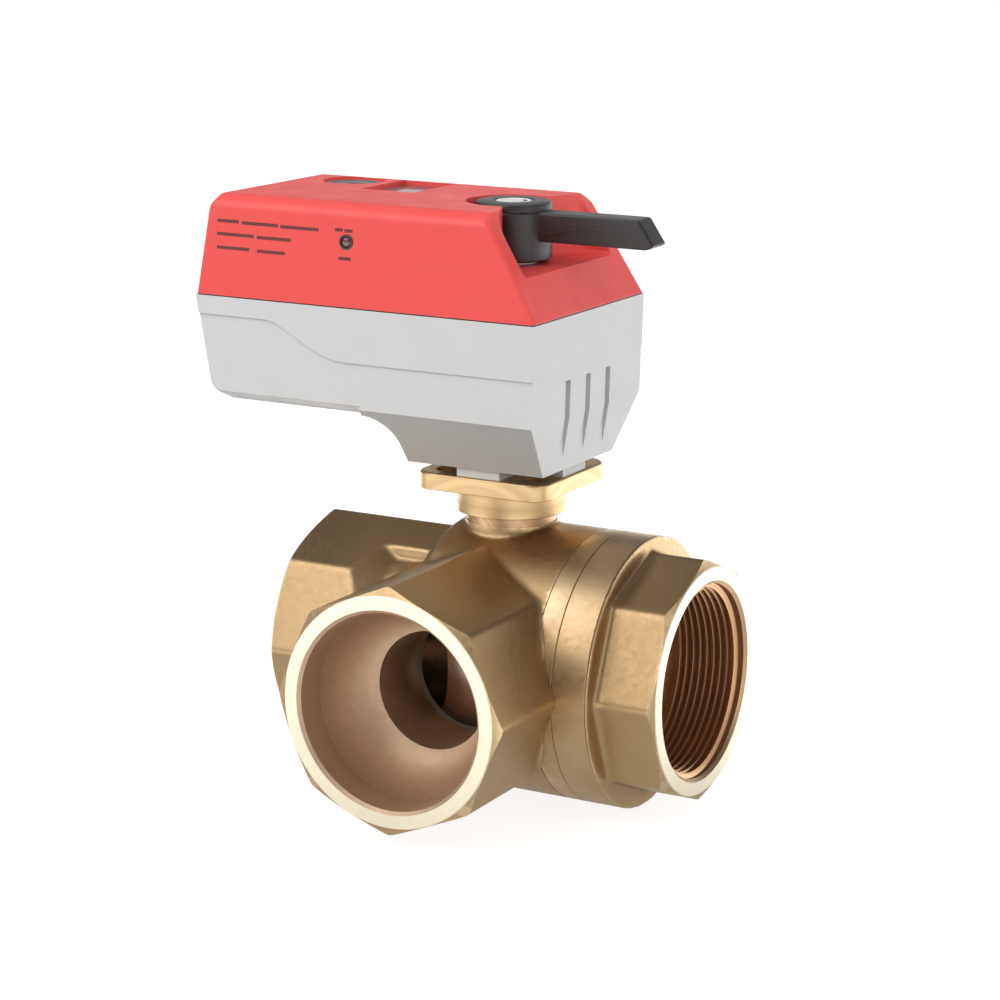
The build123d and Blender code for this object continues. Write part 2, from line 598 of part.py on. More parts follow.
upper_cover.part.label = "upper_cover"
export_step(upper_cover.part, "parts/upper_cover.step")

with BuildPart() as seam_gasket:
    with BuildSketch(Plane.XY.offset(HOUSING_TOP_Z)):
        with Locations(((HEAD_LEFT_X + HEAD_RIGHT_X) / 2, 0)):
            Rectangle(HEAD_RIGHT_X - HEAD_LEFT_X - 0.8, 2 * HEAD_HALF_Y - 0.8)
            Rectangle(HEAD_RIGHT_X - HEAD_LEFT_X - 4.8, 2 * HEAD_HALF_Y - 4.8, mode=Mode.SUBTRACT)
    extrude(amount=SEAM_GAP)
seam_gasket.part.label = "seam_gasket"
export_step(seam_gasket.part, "parts/seam_gasket.step")

with BuildPart() as service_window:
    add(block(WINDOW_LEFT_X + 0.1, WINDOW_RIGHT_X - 0.1, WINDOW_NEAR_Y + 0.1, WINDOW_FAR_Y + 0.4,
              TOP_Z - WALL - 0.1, PANEL_TOP_Z))
    add(block(WINDOW_LEFT_X - 1, WINDOW_RIGHT_X + 1, WINDOW_NEAR_Y - 1, 25.0,
              TOP_Z - WALL - 1.2, TOP_Z - WALL - 0.05))
service_window.part.label = "service_window"
export_step(service_window.part, "parts/service_window.step")

with BuildPart() as status_lens:
    with BuildSketch(Plane.XZ.offset(-LENS_Y - WALL - 1)):
        with Locations((LENS_X, LENS_Z)):
            Circle(LENS_R)
    extrude(amount=WALL + 1)
status_lens.part.label = "status_lens"
export_step(status_lens.part, "parts/status_lens.step")

# ---------------------------------------------------------------- release button
with BuildPart() as release_button:
    add(tube(BUTTON_TOP_Z - 2.5, BUTTON_TOP_Z, BUTTON_R - 0.1, 0, BUTTON_X, BUTTON_Y))
    chamfer(release_button.edges().group_by(Axis.Z)[-1], 0.5)
    add(block(BUTTON_X - 2.6, BUTTON_X + 2.6, BUTTON_Y - 0.7, BUTTON_Y + 0.7,
              BUTTON_TOP_Z - 0.8, BUTTON_TOP_Z + 1), mode=Mode.SUBTRACT)
    add(tube(PLATE_HIGH_Z + PLATE_T + BUTTON_TRAVEL + 0.7, BUTTON_TOP_Z - 2.4, 3.0, 0, BUTTON_X, BUTTON_Y))
release_button.part.label = "release_button"
export_step(release_button.part, "parts/release_button.step")

SPRING_WIRE_R = 0.4
SPRING_Z0 = CUP_FLOOR_Z + 0.1
SPRING_RISE = BUTTON_TOP_Z - 2.5 - SPRING_Z0 - 2 * SPRING_WIRE_R - 0.1
with BuildPart() as release_spring:
    with BuildLine(Plane(origin=(BUTTON_X, BUTTON_Y, SPRING_Z0 + SPRING_WIRE_R))) as coil:
        Helix(SPRING_RISE / 2, SPRING_RISE, 6.5)
    with BuildSketch(Plane(origin=coil.line @ 0, z_dir=coil.line % 0)):
        Circle(SPRING_WIRE_R)
    sweep()
release_spring.part.label = "release_spring"
export_step(release_spring.part, "parts/release_spring.step")

# ---------------------------------------------------------------- spindle and lever
with BuildPart() as drive_sleeve:
    add(tube(SLEEVE_BOTTOM_Z, SLEEVE_STEP_Z, SLEEVE_R, 0))
    add(tube(SLEEVE_STEP_Z - 0.1, SLEEVE_TOP_Z, SLEEVE_NECK_R, 0))
    socket_half = STEM_SQUARE / 2 + 0.05
    add(block(-socket_half, socket_half, -socket_half, socket_half,
              SLEEVE_BOTTOM_Z - 1, STEM_TOP_Z + 0.5), mode=Mode.SUBTRACT)
    add(tube(STEM_TOP_Z, SLEEVE_TOP_Z + 1, SCREW_R + 0.3, 0), mode=Mode.SUBTRACT)
drive_sleeve.part.label = "drive_sleeve"
export_step(drive_sleeve.part, "parts/drive_sleeve.step")

SCREW_HEAD_R = 3.6
with BuildPart() as central_screw:
    add(tube(61.0, SLEEVE_TOP_Z + 0.1, SCREW_R, 0))
    add(tube(SLEEVE_TOP_Z, SLEEVE_TOP_Z + 3.6, SCREW_HEAD_R, 0))
    with BuildSketch(Plane.XY.offset(SLEEVE_TOP_Z + 1.4)):
        RegularPolygon(1.5, 6, major_radius=False)
    extrude(amount=3, mode=Mode.SUBTRACT)
central_screw.part.label = "central_screw"
export_step(central_screw.part, "parts/central_screw.step")

with BuildPart() as override_lever:
    with BuildSketch(Plane.XZ):
        with BuildLine():
            Polyline((0, LEVER_ARM_BOTTOM_Z), (46.5, LEVER_ARM_BOTTOM_Z), (49.0, LEVER_ARM_BOTTOM_Z + 1.2),
                     (43.8, LEVER_ARM_TOP_Z), (0, LEVER_ARM_TOP_Z), close=True)
        make_face()
    extrude(amount=LEVER_ARM_WIDTH / 2, both=True)
    chamfer(override_lever.edges().filter_by(Axis.X), 0.6)
    add(tube(LEVER_HUB_BOTTOM_Z, LEVER_HUB_TOP_Z - 1, LEVER_HUB_R, 0))
    add(turned("Z", [(LEVER_HUB_TOP_Z - 1.1, 0), (LEVER_HUB_TOP_Z - 1.1, LEVER_HUB_R),
                     (LEVER_HUB_TOP_Z, LEVER_HUB_R - 1.1), (LEVER_HUB_TOP_Z, 0)]))
    add(tube(LEVER_HUB_BOTTOM_Z - 1, SLEEVE_TOP_Z + 0.05, SLEEVE_NECK_R + 0.02, 0), mode=Mode.SUBTRACT)
    add(tube(SLEEVE_TOP_Z, LEVER_HUB_TOP_Z + 1, SCREW_HEAD_R + 0.4, 0), mode=Mode.SUBTRACT)
    add(tube(LEVER_HUB_TOP_Z - 1.4, LEVER_HUB_TOP_Z + 1, DIAL_R + 0.02, 0), mode=Mode.SUBTRACT)
override_lever.part.label = "override_lever"
export_step(override_lever.part, "parts/override_lever.step")

with BuildPart() as dial_cap:
    add(tube(LEVER_HUB_TOP_Z - 1.4, LEVER_HUB_TOP_Z - 0.1, DIAL_R, 0))
dial_cap.part.label = "dial_cap"
export_step(dial_cap.part, "parts/dial_cap.step")

with BuildPart() as spindle_bush_lower:
    add(tube(FOOT_Z + 0.1, 70.0, BUSH_R, SLEEVE_R + AXLE_GAP))
spindle_bush_lower.part.label = "spindle_bush_lower"
export_step(spindle_bush_lower.part, "parts/spindle_bush_lower.step")

with BuildPart() as spindle_bush_upper:
    add(tube(PLATE_HIGH_Z - 1, PLATE_HIGH_Z + 5, BUSH_R, SLEEVE_R + AXLE_GAP))
spindle_bush_upper.part.label = "spindle_bush_upper"
export_step(spindle_bush_upper.part, "parts/spindle_bush_upper.step")

# ---------------------------------------------------------------- gear train
def on_circle(centre, radius, angle):
    """A point at an angle in degrees round a centre."""
    return (centre[0] + radius * cos(radians(angle)), centre[1] + radius * sin(radians(angle)))


def mesh_distance(module, teeth_one, teeth_two):
    """How far apart the centres of two meshing gears stand."""
    return module * (teeth_one + teeth_two) / 2


GEAR_2_SPOT = on_circle((0, 0), mesh_distance(MESH_A_MODULE, SECTOR_TEETH, PINION_2_TEETH), 180)
GEAR_3_SPOT = on_circle(GEAR_2_SPOT, mesh_distance(MESH_B_MODULE, WHEEL_2_TEETH, PINION_3_TEETH),
                        MESH_B_ANGLE)
MOTOR_SPOT = on_circle(GEAR_3_SPOT, mesh_distance(MESH_C_MODULE, WHEEL_3_TEETH, MOTOR_TEETH),
                       MESH_C_ANGLE)


def gear_points(module, teeth, first_deg, centre):
    """The outline of a spur gear with short involute teeth, one tooth's middle at first_deg."""
    pitch_r = module * teeth / 2
    base_r = pitch_r * cos(PRESSURE)
    root_r = pitch_r - 1.05 * module
    tip_r = pitch_r + 0.8 * module
    stations = [root_r, max(base_r, root_r + 0.05), pitch_r, (pitch_r + tip_r) / 2, tip_r]
    pitch_half = pi / (2 * teeth) - BACKLASH / 4 / pitch_r + tan(PRESSURE) - PRESSURE

    def half_angle(radius):
        roll = sqrt(max((radius / base_r) ** 2 - 1, 0))
        return pitch_half - (roll - atan2(roll, 1))

    points = []
    for tooth in range(teeth):
        middle = radians(first_deg) + 2 * pi * tooth / teeth
        flank = [(radius, half_angle(radius)) for radius in stations]
        for radius, half in flank + [(radius, -half) for radius, half in reversed(flank)]:
            angle = middle - half
            points.append((centre[0] + radius * cos(angle), centre[1] + radius * sin(angle)))
    return points


def toothed_wheel(module, teeth, first_deg, centre, z0, face):
    """A toothed disc standing at height z0."""
    with BuildPart() as wheel:
        with BuildSketch(Plane.XY.offset(z0)):
            with BuildLine():
                Polyline(*gear_points(module, teeth, first_deg, centre), close=True)
            make_face()
        extrude(amount=face)
    return wheel.part


with BuildPart() as sector_gear:
    add(toothed_wheel(MESH_A_MODULE, SECTOR_TEETH, 180, (0, 0), LEVEL_A, FACE_A))
    # only the sector on the side of the second gear is kept
    reach = 60.0
    with BuildSketch(Plane.XY.offset(LEVEL_A)):
        with BuildLine():
            Polyline((0, 0), (-reach * cos(radians(SECTOR_HALF_DEG)), reach * sin(radians(SECTOR_HALF_DEG))),
                     (-reach, 0),
                     (-reach * cos(radians(SECTOR_HALF_DEG)), -reach * sin(radians(SECTOR_HALF_DEG))),
                     close=True)
        make_face()
        Circle(SECTOR_HUB_R)
    extrude(amount=FACE_A, mode=Mode.INTERSECT)
    add(tube(LEVEL_A, LEVEL_A + FACE_A, SECTOR_HUB_R, 0))
    add(tube(LEVEL_A - 1, LEVEL_A + FACE_A + 1, SLEEVE_R + 0.02, 0), mode=Mode.SUBTRACT)
sector_gear.part.label = "sector_gear"
export_step(sector_gear.part, "parts/sector_gear.step")

AXLE_BORE_R = AXLE_R + AXLE_GAP
GEAR_FLOOR_Z = PLATE_LOW_Z + PLATE_T + 0.2
GEAR_CEILING_Z = PLATE_HIGH_Z - 0.2
with BuildPart() as gear_2:
    add(toothed_wheel(MESH_A_MODULE, PINION_2_TEETH, 180 / PINION_2_TEETH, GEAR_2_SPOT,
                      LEVEL_A, LEVEL_B - LEVEL_A + 0.1))
    add(toothed_wheel(MESH_B_MODULE, WHEEL_2_TEETH, MESH_B_ANGLE, GEAR_2_SPOT, LEVEL_B, FACE_B))
    add(tube(GEAR_FLOOR_Z, GEAR_CEILING_Z, 3.0, 0, *GEAR_2_SPOT))
    add(tube(GEAR_FLOOR_Z - 1, GEAR_CEILING_Z + 1, AXLE_BORE_R, 0, *GEAR_2_SPOT), mode=Mode.SUBTRACT)
gear_2.part.label = "gear_2"
export_step(gear_2.part, "parts/gear_2.step")

with BuildPart() as gear_3:
    add(toothed_wheel(MESH_B_MODULE, PINION_3_TEETH, MESH_B_ANGLE + 180 + 180 / PINION_3_TEETH,
                      GEAR_3_SPOT, LEVEL_B, LEVEL_C - LEVEL_B + 0.1))
    add(toothed_wheel(MESH_C_MODULE, WHEEL_3_TEETH, MESH_C_ANGLE, GEAR_3_SPOT, LEVEL_C, FACE_C))
    add(tube(GEAR_FLOOR_Z, GEAR_CEILING_Z, 3.0, 0, *GEAR_3_SPOT))
    add(tube(GEAR_FLOOR_Z - 1, GEAR_CEILING_Z + 1, AXLE_BORE_R, 0, *GEAR_3_SPOT), mode=Mode.SUBTRACT)
gear_3.part.label = "gear_3"
export_step(gear_3.part, "parts/gear_3.step")

MOTOR_TOP_Z = 97.5
with BuildPart() as motor_pinion:
    add(toothed_wheel(MESH_C_MODULE, MOTOR_TEETH, MESH_C_ANGLE + 180 + 180 / MOTOR_TEETH,
                      MOTOR_SPOT, LEVEL_C, FACE_C))
    add(tube(MOTOR_TOP_Z - 7, LEVEL_C + 0.1, MOTOR_SHAFT_R, 0, *MOTOR_SPOT))
motor_pinion.part.label = "motor_pinion"
export_step(motor_pinion.part, "parts/motor_pinion.step")

with BuildPart() as motor:
    add(tube(PLATE_LOW_Z + PLATE_T, MOTOR_TOP_Z, MOTOR_R, 0, *MOTOR_SPOT))
    chamfer(motor.edges().group_by(Axis.Z)[-1], 0.8)
    add(tube(MOTOR_TOP_Z - 7.5, MOTOR_TOP_Z + 1, MOTOR_SHAFT_R + AXLE_GAP, 0, *MOTOR_SPOT),
        mode=Mode.SUBTRACT)
motor.part.label = "motor"
export_step(motor.part, "parts/motor.step")

with BuildPart() as axle_2:
    add(tube(PLATE_LOW_Z + 0.1, PLATE_HIGH_Z + PLATE_T - 0.1, AXLE_R, 0, *GEAR_2_SPOT))
axle_2.part.label = "axle_2"
export_step(axle_2.part, "parts/axle_2.step")

with BuildPart() as axle_3:
    add(tube(PLATE_LOW_Z + 0.1, PLATE_HIGH_Z + PLATE_T - 0.1, AXLE_R, 0, *GEAR_3_SPOT))
axle_3.part.label = "axle_3"
export_step(axle_3.part, "parts/axle_3.step")


def gear_plate(z0, sleeve_hole_r):
    """A flat plate that carries the axles, with holes for the spindle and the screws."""
    with BuildPart() as plate:
        add(block(PLATE_LEFT_X, PLATE_RIGHT_X, -PLATE_HALF_Y, PLATE_HALF_Y, z0, z0 + PLATE_T))
        fillet(plate.edges().filter_by(Axis.Z), 2.5)
        add(tube(z0 - 1, z0 + PLATE_T + 1, sleeve_hole_r, 0), mode=Mode.SUBTRACT)
        for spot in (GEAR_2_SPOT, GEAR_3_SPOT):
            add(tube(z0 - 1, z0 + PLATE_T + 1, AXLE_R + 0.01, 0, *spot), mode=Mode.SUBTRACT)
        for spot in POST_SPOTS:
            add(tube(z0 - 1, z0 + PLATE_T + 1, 1.25, 0, *spot), mode=Mode.SUBTRACT)
    return plate.part


with BuildPart() as gear_plate_lower:
    add(gear_plate(PLATE_LOW_Z, SLEEVE_R + 0.4))
gear_plate_lower.part.label = "gear_plate_lower"
export_step(gear_plate_lower.part, "parts/gear_plate_lower.step")

with BuildPart() as gear_plate_upper:
    add(gear_plate(PLATE_HIGH_Z, BUSH_R + 0.02))
gear_plate_upper.part.label = "gear_plate_upper"
export_step(gear_plate_upper.part, "parts/gear_plate_upper.step")

with BuildPart() as plate_posts:
    for spot in POST_SPOTS:
        add(tube(PLATE_LOW_Z + PLATE_T, PLATE_HIGH_Z, POST_R, 1.25, *spot))
plate_posts.part.label = "plate_posts"
export_step(plate_posts.part, "parts/plate_posts.step")

PLATE_SCREW_TOP_Z = PLATE_HIGH_Z + PLATE_T
with BuildPart() as plate_screws:
    for spot in POST_SPOTS:
        add(tube(BELLY_Z + 1.4, PLATE_SCREW_TOP_Z + 0.1, 1.2, 0, *spot))
        add(tube(PLATE_SCREW_TOP_Z, PLATE_SCREW_TOP_Z + 1.8, 2.4, 0, *spot))
plate_screws.part.label = "plate_screws"
export_step(plate_screws.part, "parts/plate_screws.step")

with BuildPart() as end_stops:
    for side in (-1, 1):
        add(tube(PLATE_LOW_Z + PLATE_T, LEVEL_A + FACE_A - 0.5, STOP_R, 0,
                 *on_circle((0, 0), STOP_RADIUS, side * STOP_ANGLE)))
end_stops.part.label = "end_stops"
export_step(end_stops.part, "parts/end_stops.step")

# ---------------------------------------------------------------- electronics
BOARD_LEFT_X, BOARD_RIGHT_X, BOARD_HALF_Y = -61.0, -20.0, 22.0
SPACER_SPOTS = [(-57, 18), (-57, -18), (-24, 18), (-24, -18)]
BOARD_TOP_Z = BOARD_Z + BOARD_T
with BuildPart() as circuit_board:
    add(block(BOARD_LEFT_X, BOARD_RIGHT_X, -BOARD_HALF_Y, BOARD_HALF_Y, BOARD_Z, BOARD_TOP_Z))
    fillet(circuit_board.edges().filter_by(Axis.Z), 1.5)
circuit_board.part.label = "circuit_board"
export_step(circuit_board.part, "parts/circuit_board.step")

with BuildPart() as board_spacers:
    for spot in SPACER_SPOTS:
        add(tube(PLATE_HIGH_Z + PLATE_T, BOARD_Z, 2.2, 0, *spot))
board_spacers.part.label = "board_spacers"
export_step(board_spacers.part, "parts/board_spacers.step")

with BuildPart() as control_chip:
    add(block(-45, -37, -11, -3, BOARD_TOP_Z, BOARD_TOP_Z + 1.4))
control_chip.part.label = "control_chip"
export_step(control_chip.part, "parts/control_chip.step")

with BuildPart() as board_capacitors:
    for capacitor_y in (-8, 2):
        add(tube(BOARD_TOP_Z, BOARD_TOP_Z + 10, 4.0, 0, -27, capacitor_y))
board_capacitors.part.label = "board_capacitors"
export_step(board_capacitors.part, "parts/board_capacitors.step")

with BuildPart() as terminal_block:
    add(block(-59, -51, -15, 10, BOARD_TOP_Z, BOARD_TOP_Z + 8))
    for way in range(5):
        add(tube(BOARD_TOP_Z + 4, BOARD_TOP_Z + 9, 1.8, 0, -55, -12.5 + 5 * way), mode=Mode.SUBTRACT)
terminal_block.part.label = "terminal_block"
export_step(terminal_block.part, "parts/terminal_block.step")

with BuildPart() as mode_switch:
    add(block(-48, -42, 8, 20, BOARD_TOP_Z, BOARD_TOP_Z + 3))
    for slider in range(4):
        add(block(-46, -44, 9 + 3 * slider, 10 + 3 * slider, BOARD_TOP_Z + 2, BOARD_TOP_Z + 4.2))
mode_switch.part.label = "mode_switch"
export_step(mode_switch.part, "parts/mode_switch.step")

GROMMET_OUTER_R = 5.5
with BuildPart() as cable_grommet:
    with BuildSketch(Plane.XY):
        with BuildLine():
            Polyline((-98.5, INLET_R), (-98.5, 4.4), (-92.4, 5.4), (-92.4, 7.4), (-90.6, 7.4),
                     (-90.6, GROMMET_OUTER_R), (-85.5, GROMMET_OUTER_R), (-85.5, INLET_R), close=True)
        make_face()
    revolve(axis=Axis.X)
cable_grommet.part = cable_grommet.part.moved(Location((0, INLET_Y, INLET_Z)))
cable_grommet.part.label = "cable_grommet"
export_step(cable_grommet.part, "parts/cable_grommet.step")

with BuildPart() as cover_screws:
    for spot in COVER_SCREW_SPOTS:
        add(tube(77.9, 80.4, 3.0, 0, *spot))
        add(tube(80.3, 120.0, 1.5, 0, *spot))
cover_screws.part.label = "cover_screws"
export_step(cover_screws.part, "parts/cover_screws.step")
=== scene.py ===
# %% [markdown]
# # A three-way zone valve with a motor head
# The real thing is a forged and machined brass ball valve with three ports, under a
# plastic motor head: a light grey lower housing, a coral red cover, and a black hand lever.
# The CAD frame already has every part at its size and place, inside and out.
# This script gives the parts their looks: softened castings, cut threads, rounded
# mouldings, and a procedural finish for each material.

# %% Load the CAD frame
import json
from math import cos, pi, radians, sin, tan

import bpy
from mathutils import Matrix, Vector


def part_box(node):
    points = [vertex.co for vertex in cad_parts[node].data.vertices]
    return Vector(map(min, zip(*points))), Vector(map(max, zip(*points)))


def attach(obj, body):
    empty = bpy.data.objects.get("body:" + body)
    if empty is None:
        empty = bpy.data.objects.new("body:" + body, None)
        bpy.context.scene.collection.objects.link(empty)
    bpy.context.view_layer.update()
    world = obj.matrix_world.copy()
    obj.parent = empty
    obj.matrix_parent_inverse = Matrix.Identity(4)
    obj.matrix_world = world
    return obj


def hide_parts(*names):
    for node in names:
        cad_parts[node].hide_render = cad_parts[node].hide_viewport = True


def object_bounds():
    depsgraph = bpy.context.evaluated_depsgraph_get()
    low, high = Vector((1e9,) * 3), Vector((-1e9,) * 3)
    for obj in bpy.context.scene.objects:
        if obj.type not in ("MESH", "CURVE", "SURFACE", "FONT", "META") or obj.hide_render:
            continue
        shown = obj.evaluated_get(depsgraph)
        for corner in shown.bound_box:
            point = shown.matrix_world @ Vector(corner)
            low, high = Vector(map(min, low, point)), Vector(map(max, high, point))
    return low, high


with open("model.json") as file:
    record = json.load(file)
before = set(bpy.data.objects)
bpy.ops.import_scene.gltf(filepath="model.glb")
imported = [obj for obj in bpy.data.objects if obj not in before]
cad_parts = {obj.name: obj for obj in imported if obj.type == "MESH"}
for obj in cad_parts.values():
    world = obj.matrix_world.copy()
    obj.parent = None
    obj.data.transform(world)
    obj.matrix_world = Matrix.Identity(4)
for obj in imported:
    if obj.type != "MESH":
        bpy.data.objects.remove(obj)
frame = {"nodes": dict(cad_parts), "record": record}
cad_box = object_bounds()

MM = 0.001
print("CAD box", [round(side / MM, 1) for side in cad_box[1] - cad_box[0]], "mm")

# %% [markdown]
# ## Small helpers for working by hand
# Every operator acts on whatever is selected, and the CAD parts start selected.
# So each helper first selects just the piece that it works on. A piece is always left
# at the origin with its place in its mesh, as the CAD parts are.

# %% Select, name and apply


def deselect():
    """Leaves nothing selected."""
    bpy.ops.object.select_all(action="DESELECT")


def only(piece):
    """Selects one piece and makes it the active one."""
    deselect()
    piece.select_set(True)
    bpy.context.view_layer.objects.active = piece


def named(name):
    """Names the primitive that was just added, and moves its place into its mesh."""
    piece = bpy.context.object
    piece.name = piece.data.name = name
    bpy.ops.object.transform_apply(location=True, rotation=True, scale=True)
    return piece


def use(piece, kind, **settings):
    """Adds a modifier to a piece, sets it and applies it."""
    only(piece)
    modifier = piece.modifiers.new(kind.title(), kind)
    for key, value in settings.items():
        setattr(modifier, key, value)
    bpy.ops.object.modifier_apply(modifier=modifier.name)


def carve(piece, tool, operation="DIFFERENCE"):
    """Cuts a tool's shape out of a piece, or joins it on, and throws the tool away."""
    use(piece, "BOOLEAN", object=tool, operation=operation, solver="EXACT")
    bpy.data.objects.remove(tool)


def edit(piece):
    """Opens one piece for editing with nothing in it selected."""
    only(piece)
    bpy.ops.object.mode_set(mode="EDIT")
    bpy.ops.mesh.select_all(action="DESELECT")


def close_edit():
    """Goes back from the mesh to the whole object."""
    bpy.ops.object.mode_set(mode="OBJECT")


def pick_faces(piece, wanted):
    """Opens a piece for editing with the faces selected for which wanted(face) is true."""
    edit(piece)
    bpy.ops.mesh.select_mode(type="FACE")
    close_edit()
    for face in piece.data.polygons:
        face.select = wanted(face)
    bpy.ops.object.mode_set(mode="EDIT")


def pick_edges(piece, wanted):
    """Opens a piece for editing with the edges selected for which wanted(end, end) is true."""
    edit(piece)
    bpy.ops.mesh.select_mode(type="EDGE")
    close_edit()
    points = piece.data.vertices
    for edge in piece.data.edges:
        one, other = edge.vertices
        edge.select = wanted(points[one].co, points[other].co)
    bpy.ops.object.mode_set(mode="EDIT")


def tidy_mesh(piece, distance=0.002 * MM):
    """Merges doubled points and turns every face outwards."""
    edit(piece)
    bpy.ops.mesh.select_all(action="SELECT")
    bpy.ops.mesh.remove_doubles(threshold=distance)
    bpy.ops.mesh.normals_make_consistent(inside=False)
    close_edit()


def smooth(piece, degrees=32):
    """Shades a piece smooth, except across edges sharper than an angle; large faces stay flat."""
    only(piece)
    bpy.ops.object.shade_smooth_by_angle(angle=radians(degrees))
    use(piece, "WEIGHTED_NORMAL", keep_sharp=True, weight=60)


# %% [markdown]
# ## Starting shapes
# A rod and a block are plain primitives, only used as raw stock or as cutting tools.
# A turned shape is drawn as half a section, point by point, and then spun round its
# axis, which is how a lathe makes it. A prism is an outline that is filled and pushed up.

# %% Raw stock: rod, block, turned shape, prism
AXES = {"X": Vector((1, 0, 0)), "Y": Vector((0, 1, 0)), "Z": Vector((0, 0, 1))}
LAY_ALONG = {"X": (0, pi / 2, 0), "Y": (pi / 2, 0, 0), "Z": (0, 0, 0)}
OUT_FROM = {"X": AXES["Z"], "Y": AXES["Z"], "Z": AXES["X"]}


def rod(name, axis, start, end, radius, sides=96, centre=(0, 0, 0)):
    """A round or many-sided bar along an axis, from start to end."""
    middle = Vector(centre)
    middle["XYZ".index(axis)] = (start + end) / 2
    deselect()
    bpy.ops.mesh.primitive_cylinder_add(vertices=sides, radius=radius, depth=abs(end - start),
                                        location=middle, rotation=LAY_ALONG[axis])
    return named(name)


def block(name, low, high):
    """A box between two corners."""
    low, high = Vector(low), Vector(high)
    deselect()
    bpy.ops.mesh.primitive_cube_add(size=1, location=(low + high) / 2, scale=high - low)
    return named(name)


def chain(name, points):
    """A line of edges through a list of points, left open for editing."""
    deselect()
    bpy.ops.mesh.primitive_plane_add(size=MM, location=points[0])
    piece = named(name)
    bpy.ops.object.mode_set(mode="EDIT")
    bpy.ops.mesh.select_mode(type="VERT")
    bpy.ops.mesh.merge(type="CENTER")
    for before, after in zip(points, points[1:]):
        bpy.ops.mesh.extrude_region_move(TRANSFORM_OT_translate={"value": Vector(after) - Vector(before)})
    bpy.ops.mesh.select_all(action="SELECT")
    return piece


def turned(name, axis, section, centre=(0, 0, 0), steps=96):
    """A solid of revolution: section is a list of (place along the axis, radius)."""
    points = [Vector(centre) + AXES[axis] * along + OUT_FROM[axis] * radius for along, radius in section]
    piece = chain(name, points)
    bpy.ops.mesh.spin(steps=steps, angle=2 * pi, center=centre, axis=AXES[axis])
    close_edit()
    tidy_mesh(piece)
    return piece


def prism(name, outline, push):
    """A flat outline, filled and pushed along a vector."""
    piece = chain(name, outline)
    bpy.ops.mesh.edge_face_add()
    bpy.ops.mesh.select_all(action="SELECT")
    bpy.ops.mesh.extrude_region_move(TRANSFORM_OT_translate={"value": Vector(push)})
    close_edit()
    tidy_mesh(piece)
    return piece


def along_z(section_mm):
    """A list of millimetre pairs in metres."""
    return [(first * MM, second * MM) for first, second in section_mm]


# %% [markdown]
# ## Sizes taken from the frame
# The frame's boxes say where each part begins and ends, so the main sizes are read from
# there. Inner sizes that a box can't tell, such as a bore's steps, repeat the CAD's own.

# %% Main sizes
body_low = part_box("valve_body")[0]
cap_low, cap_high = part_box("end_cap")
PORT_A_X = body_low.x
PORT_B_X = cap_high.x
BRANCH_Y = body_low.y
BARREL_R = -body_low.z
BARREL_END_X = cap_low.x + 7.1 * MM
OCTAGON_FLAT_R = 35 * MM
OCTAGON_CORNER_R = OCTAGON_FLAT_R / cos(pi / 8)
THREAD_R = 29.8 * MM
BORE_R = 18.2 * MM
MOUTH_CONE = 2 * MM
MOUTH_CONE_R = OCTAGON_FLAT_R + MOUTH_CONE / tan(radians(30))
CLEAR_R = 60 * MM
print("ports at", round(PORT_A_X / MM, 1), round(PORT_B_X / MM, 1), "branch at", round(BRANCH_Y / MM, 1))

# %% [markdown]
# ## Shader groups: effects that several finishes share
# Fine grain, worn edges, settled dust and lathe marks turn up on many parts. Each is
# built once as a node group that only puts out values, and every material uses it with
# its own numbers. The patterns read object coordinates, so they stay on the part.

# %% Node helpers


def node(tree, kind, inputs=None, **settings):
    """Adds a shader node. An input is given a number or colour, or wired from a socket."""
    made = tree.nodes.new("ShaderNode" + kind)
    for key, value in settings.items():
        setattr(made, key, value)
    for key, value in (inputs or {}).items():
        if isinstance(value, bpy.types.NodeSocket):
            tree.links.new(value, made.inputs[key])
        else:
            made.inputs[key].default_value = value
    return made


def maths(tree, operation, first, second=0.0, clamp=False):
    """One Math node's result."""
    return node(tree, "Math", {0: first, 1: second}, operation=operation, use_clamp=clamp).outputs[0]


def spread(tree, value, low, high, new_low=0.0, new_high=1.0):
    """Stretches the part of a value between low and high to a new range."""
    return node(tree, "MapRange", {0: value, 1: low, 2: high, 3: new_low, 4: new_high}).outputs[0]


def new_group(name, inputs, outputs):
    """An empty node group with named sockets."""
    tree = bpy.data.node_groups.new(name, "ShaderNodeTree")
    for label, value in inputs.items():
        kind = "NodeSocketVector" if isinstance(value, tuple) else "NodeSocketFloat"
        tree.interface.new_socket(label, in_out="INPUT", socket_type=kind).default_value = value
    for label in outputs:
        tree.interface.new_socket(label, in_out="OUTPUT", socket_type="NodeSocketFloat")
    return tree, tree.nodes.new("NodeGroupInput").outputs, tree.nodes.new("NodeGroupOutput").inputs


# %% [markdown]
# Grain is the smallest relief of a surface: the spark-eroded texture of a moulding, or
# the pits that shot leaves on a casting. Two noises are used, a fine one for the height
# and a coarse one for slow changes in shade.

# %% Group: fine grain
grain, given, put = new_group("fine grain", {"Scale": 900.0}, ["Height", "Shade"])
here = node(grain, "TexCoord").outputs["Object"]
fine = node(grain, "TexNoise", {"Vector": here, "Scale": given["Scale"], "Detail": 3.0, "Roughness": 0.6})
slow = maths(grain, "MULTIPLY", given["Scale"], 0.045)
coarse = node(grain, "TexNoise", {"Vector": here, "Scale": slow, "Detail": 4.0, "Roughness": 0.55})
grain.links.new(fine.outputs[0], put["Height"])
grain.links.new(coarse.outputs[0], put["Shade"])
print("group", grain.name)

# %% [markdown]
# Edges catch hands and tools, so they polish or go pale first. The Bevel node gives the
# normal as if the edges were round; where it differs from the true normal, an edge is
# near. A noise breaks the line up, because wear is never even.

